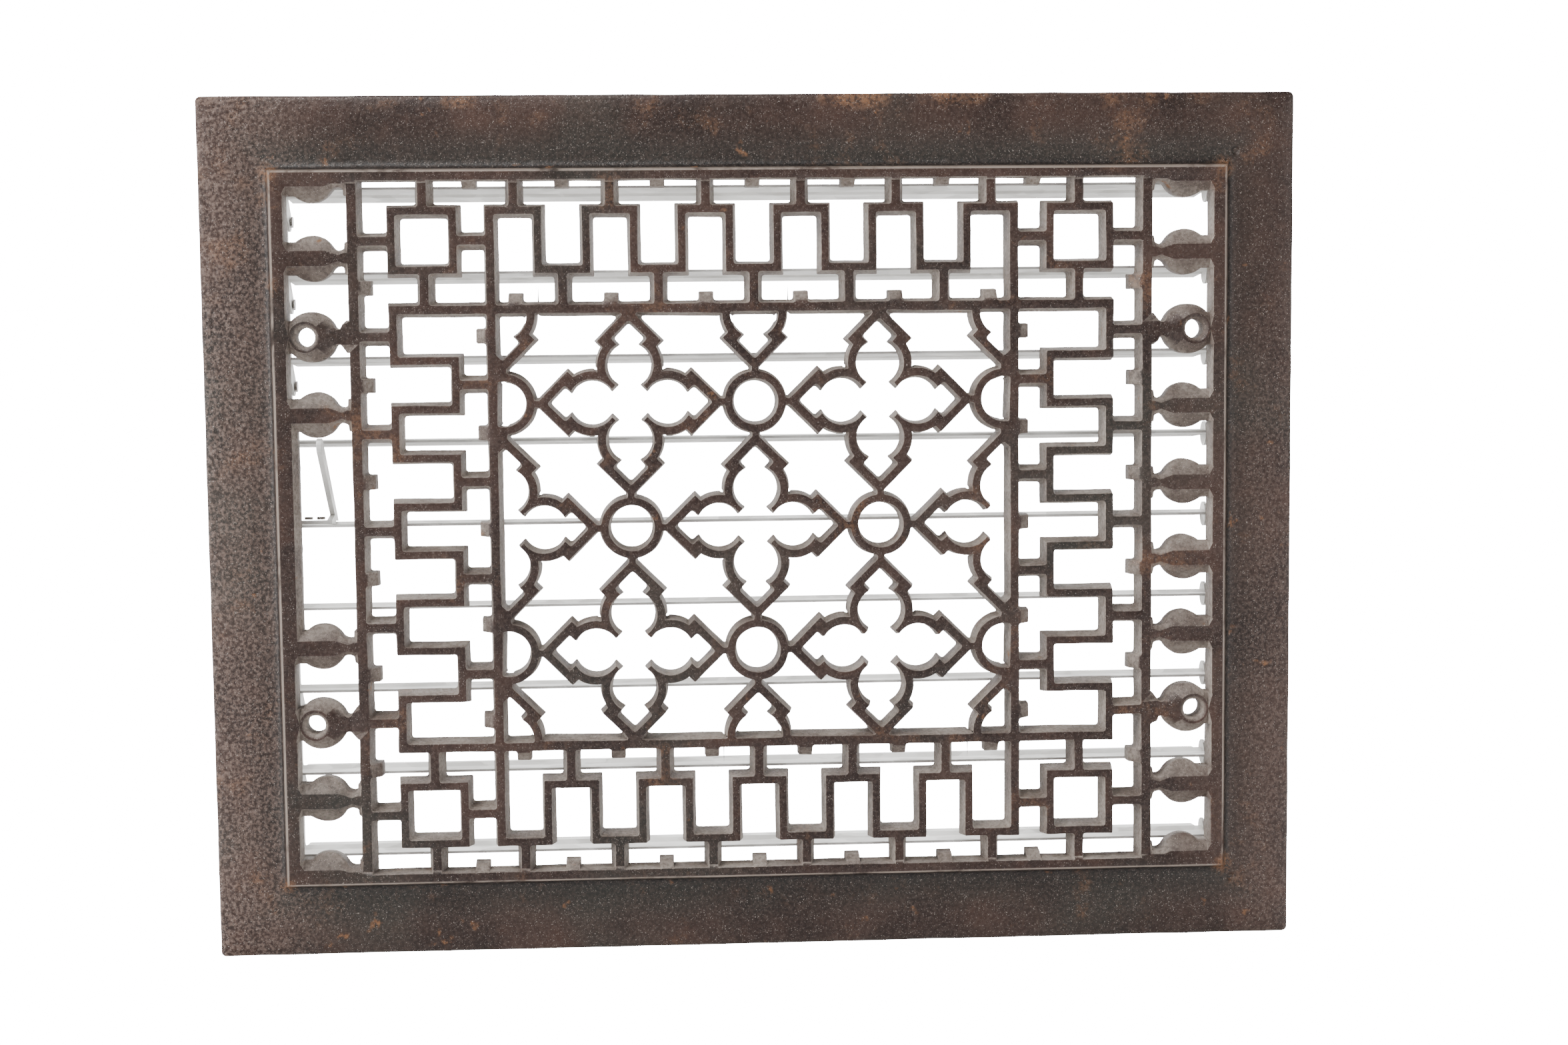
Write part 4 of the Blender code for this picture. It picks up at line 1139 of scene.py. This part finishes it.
    # Painted glints: bright specks painted into the colour, with lower roughness
    glint = n.fade(speck, 0.65, 0.7)
    colour = n.mix(n.maths("MULTIPLY", glint, 0.6), colour, (0.6, 0.53, 0.48, 1.0))
    n.feed(end.inputs["Colour"], colour)
    rough = n.maths("MULTIPLY_ADD", blotch, 0.3, 0.24)
    rough = n.maths("MULTIPLY_ADD", left, 0.12, rough)
    rough = n.maths("ADD", rough, n.maths("MULTIPLY", n.maths("MAXIMUM", rust, side), 0.3))
    rough = n.maths("SUBTRACT", rough, n.maths("MULTIPLY", glint, 0.25), clamp=True)
    n.feed(end.inputs["Roughness"], rough)
    height = n.maths("MULTIPLY_ADD", grit, 1.0, n.maths("MULTIPLY", speck, 0.45))
    height = n.maths("MULTIPLY_ADD", n.noise(place_out, 320.0, 3.0, 0.5), 1.2, height)
    lumps = n.maths("MULTIPLY_ADD", left, 3.2, 0.5)
    height = n.maths("MULTIPLY_ADD", n.noise(place_out, 480.0, 2.0, 0.4), lumps, height)
    dimple_v = n.maths("SUBTRACT", n.maths("ABSOLUTE", z), 0.1208)
    dimple_u = n.maths("SUBTRACT", x, 0.1583)
    dimple = n.maths("ADD", n.maths("MULTIPLY", dimple_u, dimple_u), n.maths("MULTIPLY", dimple_v, dimple_v))
    dimple = n.fade(n.maths("SQRT", dimple), 0.0017, 0.0006)
    height = n.maths("MULTIPLY_ADD", dimple, -6.0, height)
    n.feed(end.inputs["Height"], n.maths("MULTIPLY", height, start.outputs["Grain"]))
    metal = n.maths("MULTIPLY_ADD", n.maths("MAXIMUM", rust, side), -0.25, 0.25, clamp=True)
    n.feed(end.inputs["Metal"], metal)
    return tree


def new_material(name):
    """Material with only its output and a Principled shader."""
    material = bpy.data.materials.new(name)
    material.use_nodes = True
    tree = material.node_tree
    tree.nodes.clear()
    n = Nodes(tree)
    shader = n.add("ShaderNodeBsdfPrincipled")
    output = n.add("ShaderNodeOutputMaterial")
    tree.links.new(shader.outputs[0], output.inputs["Surface"])
    return material, n, shader


def iron_material(settings):
    """Aged brown cast iron."""
    material, n, shader = new_material("cast_iron_aged")
    place_out = n.add("ShaderNodeTexCoord").outputs["Object"]
    normal = n.split(n.add("ShaderNodeNewGeometry").outputs["Normal"])
    facing = n.maths("ABSOLUTE", normal[1])
    iron = n.add("ShaderNodeGroup")
    iron.node_tree = iron_group()
    for label, value in (("Place", place_out), ("Facing", facing), ("Rust", settings.rust),
                         ("Grain", settings.grain)):
        n.feed(iron.inputs[label], value)
    bump = n.add("ShaderNodeBump", [("Height", iron.outputs["Height"]), ("Strength", 0.75), ("Distance", 0.00022)])
    n.feed(shader.inputs["Base Color"], iron.outputs["Colour"])
    n.feed(shader.inputs["Roughness"], iron.outputs["Roughness"])
    n.feed(shader.inputs["Metallic"], iron.outputs["Metal"])
    n.feed(shader.inputs["Normal"], bump.outputs["Normal"])
    return material


def zinc_group():
    """Colour, roughness and height of zinc-coated sheet with its spangle."""
    tree, n, start, end = group_tree(
        "zinc_spangle",
        [("Place", "NodeSocketVector"), ("Tint", "NodeSocketColor")],
        [("Colour", "NodeSocketColor"), ("Roughness", "NodeSocketFloat"), ("Height", "NodeSocketFloat")],
    )
    place_out = start.outputs["Place"]
    bent = n.add("ShaderNodeVectorMath", [(0, place_out)], operation="MULTIPLY_ADD")
    bent.inputs[1].default_value = (1.0, 1.0, 1.0)
    wobble = n.add("ShaderNodeTexNoise", [("Vector", place_out), ("Scale", 160.0)]).outputs["Color"]
    small = n.add("ShaderNodeVectorMath", [(0, wobble)], operation="SCALE")
    small.inputs["Scale"].default_value = 0.004
    n.feed(bent.inputs[2], small.outputs[0])
    cells = n.add("ShaderNodeTexVoronoi", [("Vector", bent.outputs[0]), ("Scale", 110.0)])
    shade = n.split(cells.outputs["Color"])[0]
    film = n.noise(place_out, 40.0, 5.0, 0.6)
    darker = n.add("ShaderNodeHueSaturation", [("Value", 0.62), ("Color", start.outputs["Tint"])])
    colour = n.mix(n.maths("MULTIPLY", shade, 0.45), start.outputs["Tint"], darker.outputs["Color"])
    colour = n.mix(n.maths("MULTIPLY", n.fade(film, 0.48, 0.7), 0.6), colour, (0.6, 0.58, 0.55, 1.0))
    n.feed(end.inputs["Colour"], colour)
    n.feed(end.inputs["Roughness"], n.maths("MULTIPLY_ADD", shade, 0.16, n.maths("MULTIPLY_ADD", film, 0.3, 0.3)))
    n.feed(end.inputs["Height"], n.maths("MULTIPLY_ADD", film, 0.7, n.maths("MULTIPLY", shade, 0.3)))
    return tree


def zinc_material(settings):
    """Dull zinc-coated sheet."""
    material, n, shader = new_material("zinc_sheet_dull")
    place_out = n.add("ShaderNodeTexCoord").outputs["Object"]
    zinc = n.add("ShaderNodeGroup")
    zinc.node_tree = zinc_group()
    n.feed(zinc.inputs["Place"], place_out)
    n.feed(zinc.inputs["Tint"], (*settings.zinc, 1.0))
    bump = n.add("ShaderNodeBump", [("Height", zinc.outputs["Height"]), ("Strength", 0.3), ("Distance", 0.0002)])
    n.feed(shader.inputs["Base Color"], zinc.outputs["Colour"])
    n.feed(shader.inputs["Roughness"], zinc.outputs["Roughness"])
    n.feed(shader.inputs["Metallic"], 0.3)
    n.feed(shader.inputs["Normal"], bump.outputs["Normal"])
    return material


def steel_material():
    """Plain steel of screws, rivets and the washer, with light tool marks."""
    material, n, shader = new_material("steel_plain")
    place_out = n.add("ShaderNodeTexCoord").outputs["Object"]
    marks = n.noise(place_out, 900.0, 4.0, 0.6)
    stain = n.noise(place_out, 240.0, 4.0, 0.6)
    colour = n.mix(n.fade(stain, 0.45, 0.7), (0.46, 0.45, 0.44, 1.0), (0.24, 0.19, 0.15, 1.0))
    bump = n.add("ShaderNodeBump", [("Height", marks), ("Strength", 0.35), ("Distance", 0.0001)])
    n.feed(shader.inputs["Base Color"], colour)
    n.feed(shader.inputs["Roughness"], n.maths("MULTIPLY_ADD", marks, 0.35, 0.22))
    n.feed(shader.inputs["Metallic"], 0.95)
    n.feed(shader.inputs["Normal"], bump.outputs["Normal"])
    return material


def floor_material(brightness):
    """Pale studio floor that fades into the backdrop."""
    material, n, shader = new_material("pale_floor")
    place_out = n.add("ShaderNodeTexCoord").outputs["Object"]
    cloud = n.noise(place_out, 3.0, 3.0, 0.5)
    colour = n.mix(cloud, (0.9, 0.9, 0.9, 1.0), (0.95, 0.95, 0.95, 1.0))
    seen = n.add("ShaderNodeLightPath").outputs["Is Camera Ray"]
    n.feed(shader.inputs["Base Color"], colour)
    n.feed(shader.inputs["Roughness"], n.maths("MULTIPLY_ADD", cloud, 0.1, 0.7))
    n.feed(shader.inputs["Emission Color"], colour)
    n.feed(shader.inputs["Emission Strength"], n.maths("MULTIPLY", seen, brightness))
    return material


def paint(node, material):
    """Give a CAD node its finish."""
    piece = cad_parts[node]
    piece.data.materials.clear()
    piece.data.materials.append(material)


def shade(mesh, angle):
    """Smooth shading with creases above an angle in degrees."""
    mesh.shade_smooth()
    mesh.set_sharp_from_angle(angle=math.radians(angle))


class RegisterSettings(bpy.types.PropertyGroup):
    """What a user may change."""

    edge: bpy.props.FloatProperty(
        name="Edge Rounding", description="Radius of the casting's edges, in millimetres",
        default=0.28, min=0.1, max=0.35)
    waver: bpy.props.FloatProperty(
        name="Unevenness", description="How far the sand mould's surface strays, in millimetres",
        default=0.22, min=0.0, max=0.5)
    grain: bpy.props.FloatProperty(
        name="Grain", description="Strength of the cast surface's grain", default=1.0, min=0.0, max=3.0,
        subtype="FACTOR")
    rust: bpy.props.FloatProperty(
        name="Rust", description="Amount of orange rust", default=0.85, min=0.0, max=1.0, subtype="FACTOR")
    zinc: bpy.props.FloatVectorProperty(
        name="Zinc Tint", description="Colour of the valve's sheet", default=(0.86, 0.85, 0.82), size=3,
        min=0.0, max=1.0, subtype="COLOR")
    backdrop: bpy.props.FloatProperty(
        name="Backdrop Brightness", description="Brightness of the backdrop and floor as seen", default=20.0,
        min=0.0, max=50.0)


class REGISTER_OT_face(bpy.types.Operator):
    """Build the cast-iron face plate"""

    bl_idname = "register.face"
    bl_label = "Face Plate"

    def execute(self, context):
        settings = context.scene.register_settings
        mesh = casting_mesh(settings.edge, settings.waver)
        shade(mesh, 38.0)
        face = bpy.data.objects.new("register_face", mesh)
        context.collection.objects.link(face)
        mesh.materials.append(iron_material(settings))
        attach(face, "plate_and_box")
        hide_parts("face_plate")
        return {"FINISHED"}


class REGISTER_OT_valve(bpy.types.Operator):
    """Finish the sheet pieces of the louvre valve"""

    bl_idname = "register.valve"
    bl_label = "Louvre Valve"

    def execute(self, context):
        sheet = zinc_material(context.scene.register_settings)
        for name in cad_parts:
            if name.startswith(("louvre_", "valve_rail_", "link_bar")):
                paint(name, sheet)
        return {"FINISHED"}


class REGISTER_OT_hardware(bpy.types.Operator):
    """Finish the lever, screws, rivets and washer"""

    bl_idname = "register.hardware"
    bl_label = "Lever and Fasteners"

    def execute(self, context):
        sheet = bpy.data.materials.get("zinc_sheet_dull")
        if sheet is None:
            raise RuntimeError("build the louvre valve first")
        steel = steel_material()
        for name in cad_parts:
            if name.startswith(("valve_screw_", "link_rivet_", "lever_rivet_", "friction_washer")):
                paint(name, steel)
        paint("lever", sheet)
        return {"FINISHED"}


class REGISTER_OT_stage(bpy.types.Operator):
    """Set the floor, the lights and the camera"""

    bl_idname = "register.stage"
    bl_label = "Stage"

    def execute(self, context):
        brightness = context.scene.register_settings.backdrop
        size = 4.0
        corners = [(-size, -size, 0.0), (size, -size, 0.0), (size, size, 0.0), (-size, size, 0.0)]
        mesh = bpy.data.meshes.new("floor")
        mesh.from_pydata(corners, [], [(0, 1, 2, 3)])
        mesh.materials.append(floor_material(brightness))
        floor = bpy.data.objects.new("floor", mesh)
        floor.location.z = FLOOR_LEVEL
        context.collection.objects.link(floor)
        add_light("key", (-0.8, -0.9, 1.5), 0.9, 34.0)
        add_light("left", (-1.5, -0.35, 0.2), 0.9, 16.0)
        add_light("fill", (1.5, -1.0, 0.3), 1.2, 7.0)
        add_light("back", (0.0, 1.4, 0.3), 2.6, 90.0)
        add_world(brightness)
        add_camera()
        return {"FINISHED"}


def add_light(name, location, size, power):
    """Square soft light that points at the object."""
    light = bpy.data.lights.new(name, "AREA")
    light.size = size
    light.energy = power
    lamp = bpy.data.objects.new(name, light)
    lamp.location = location
    lamp.rotation_euler = (-Vector(location)).to_track_quat("-Z", "Y").to_euler()
    lamp.visible_camera = False
    bpy.context.collection.objects.link(lamp)


def add_world(brightness):
    """White backdrop, brighter as seen than as it lights the object."""
    world = bpy.data.worlds.new("studio")
    bpy.context.scene.world = world
    world.use_nodes = True
    world.node_tree.nodes.clear()
    n = Nodes(world.node_tree)
    seen = n.add("ShaderNodeLightPath").outputs["Is Camera Ray"]
    strength = n.maths("MULTIPLY_ADD", seen, brightness - WORLD_LIGHT, WORLD_LIGHT)
    backdrop = n.add("ShaderNodeBackground", [("Color", (1.0, 1.0, 1.0, 1.0)), ("Strength", strength)])
    output = n.add("ShaderNodeOutputWorld")
    world.node_tree.links.new(backdrop.outputs[0], output.inputs["Surface"])


def add_camera():
    """Camera a little left of and above the middle of the face."""
    camera = bpy.data.objects.new("camera", bpy.data.cameras.new("camera"))
    right = Vector(CAMERA_RIGHT)
    up = Vector(CAMERA_UP)
    turn = Matrix((right, up, right.cross(up))).transposed().to_4x4()
    camera.matrix_world = Matrix.Translation(CAMERA_PLACE) @ turn
    camera.data.lens = CAMERA_LENS
    camera.data.sensor_width = 36.0
    camera.data.clip_start = 0.01
    bpy.context.collection.objects.link(camera)
    bpy.context.scene.camera = camera


class REGISTER_PT_panel(bpy.types.Panel):
    """The register's pieces and settings"""

    bl_label = "Iron Register"
    bl_idname = "REGISTER_PT_panel"
    bl_space_type = "VIEW_3D"
    bl_region_type = "UI"
    bl_category = "Register"

    def draw(self, context):
        settings = context.scene.register_settings
        for name in RegisterSettings.__annotations__:
            self.layout.prop(settings, name)
        for piece in OPERATORS:
            self.layout.operator(piece.bl_idname)


OPERATORS = (REGISTER_OT_face, REGISTER_OT_valve, REGISTER_OT_hardware, REGISTER_OT_stage)
CLASSES = (RegisterSettings, *OPERATORS, REGISTER_PT_panel)


def register():
    """Add the classes and the scene's settings."""
    for item in CLASSES:
        bpy.utils.register_class(item)
    bpy.types.Scene.register_settings = bpy.props.PointerProperty(type=RegisterSettings)


def unregister():
    """Remove the scene's settings and the classes."""
    del bpy.types.Scene.register_settings
    for item in reversed(CLASSES):
        bpy.utils.unregister_class(item)


def main():
    """Build everything in order."""
    register()
    bpy.ops.register.face()
    bpy.ops.register.valve()
    bpy.ops.register.hardware()
    bpy.ops.register.stage()


if __name__ == "__main__":
    main()
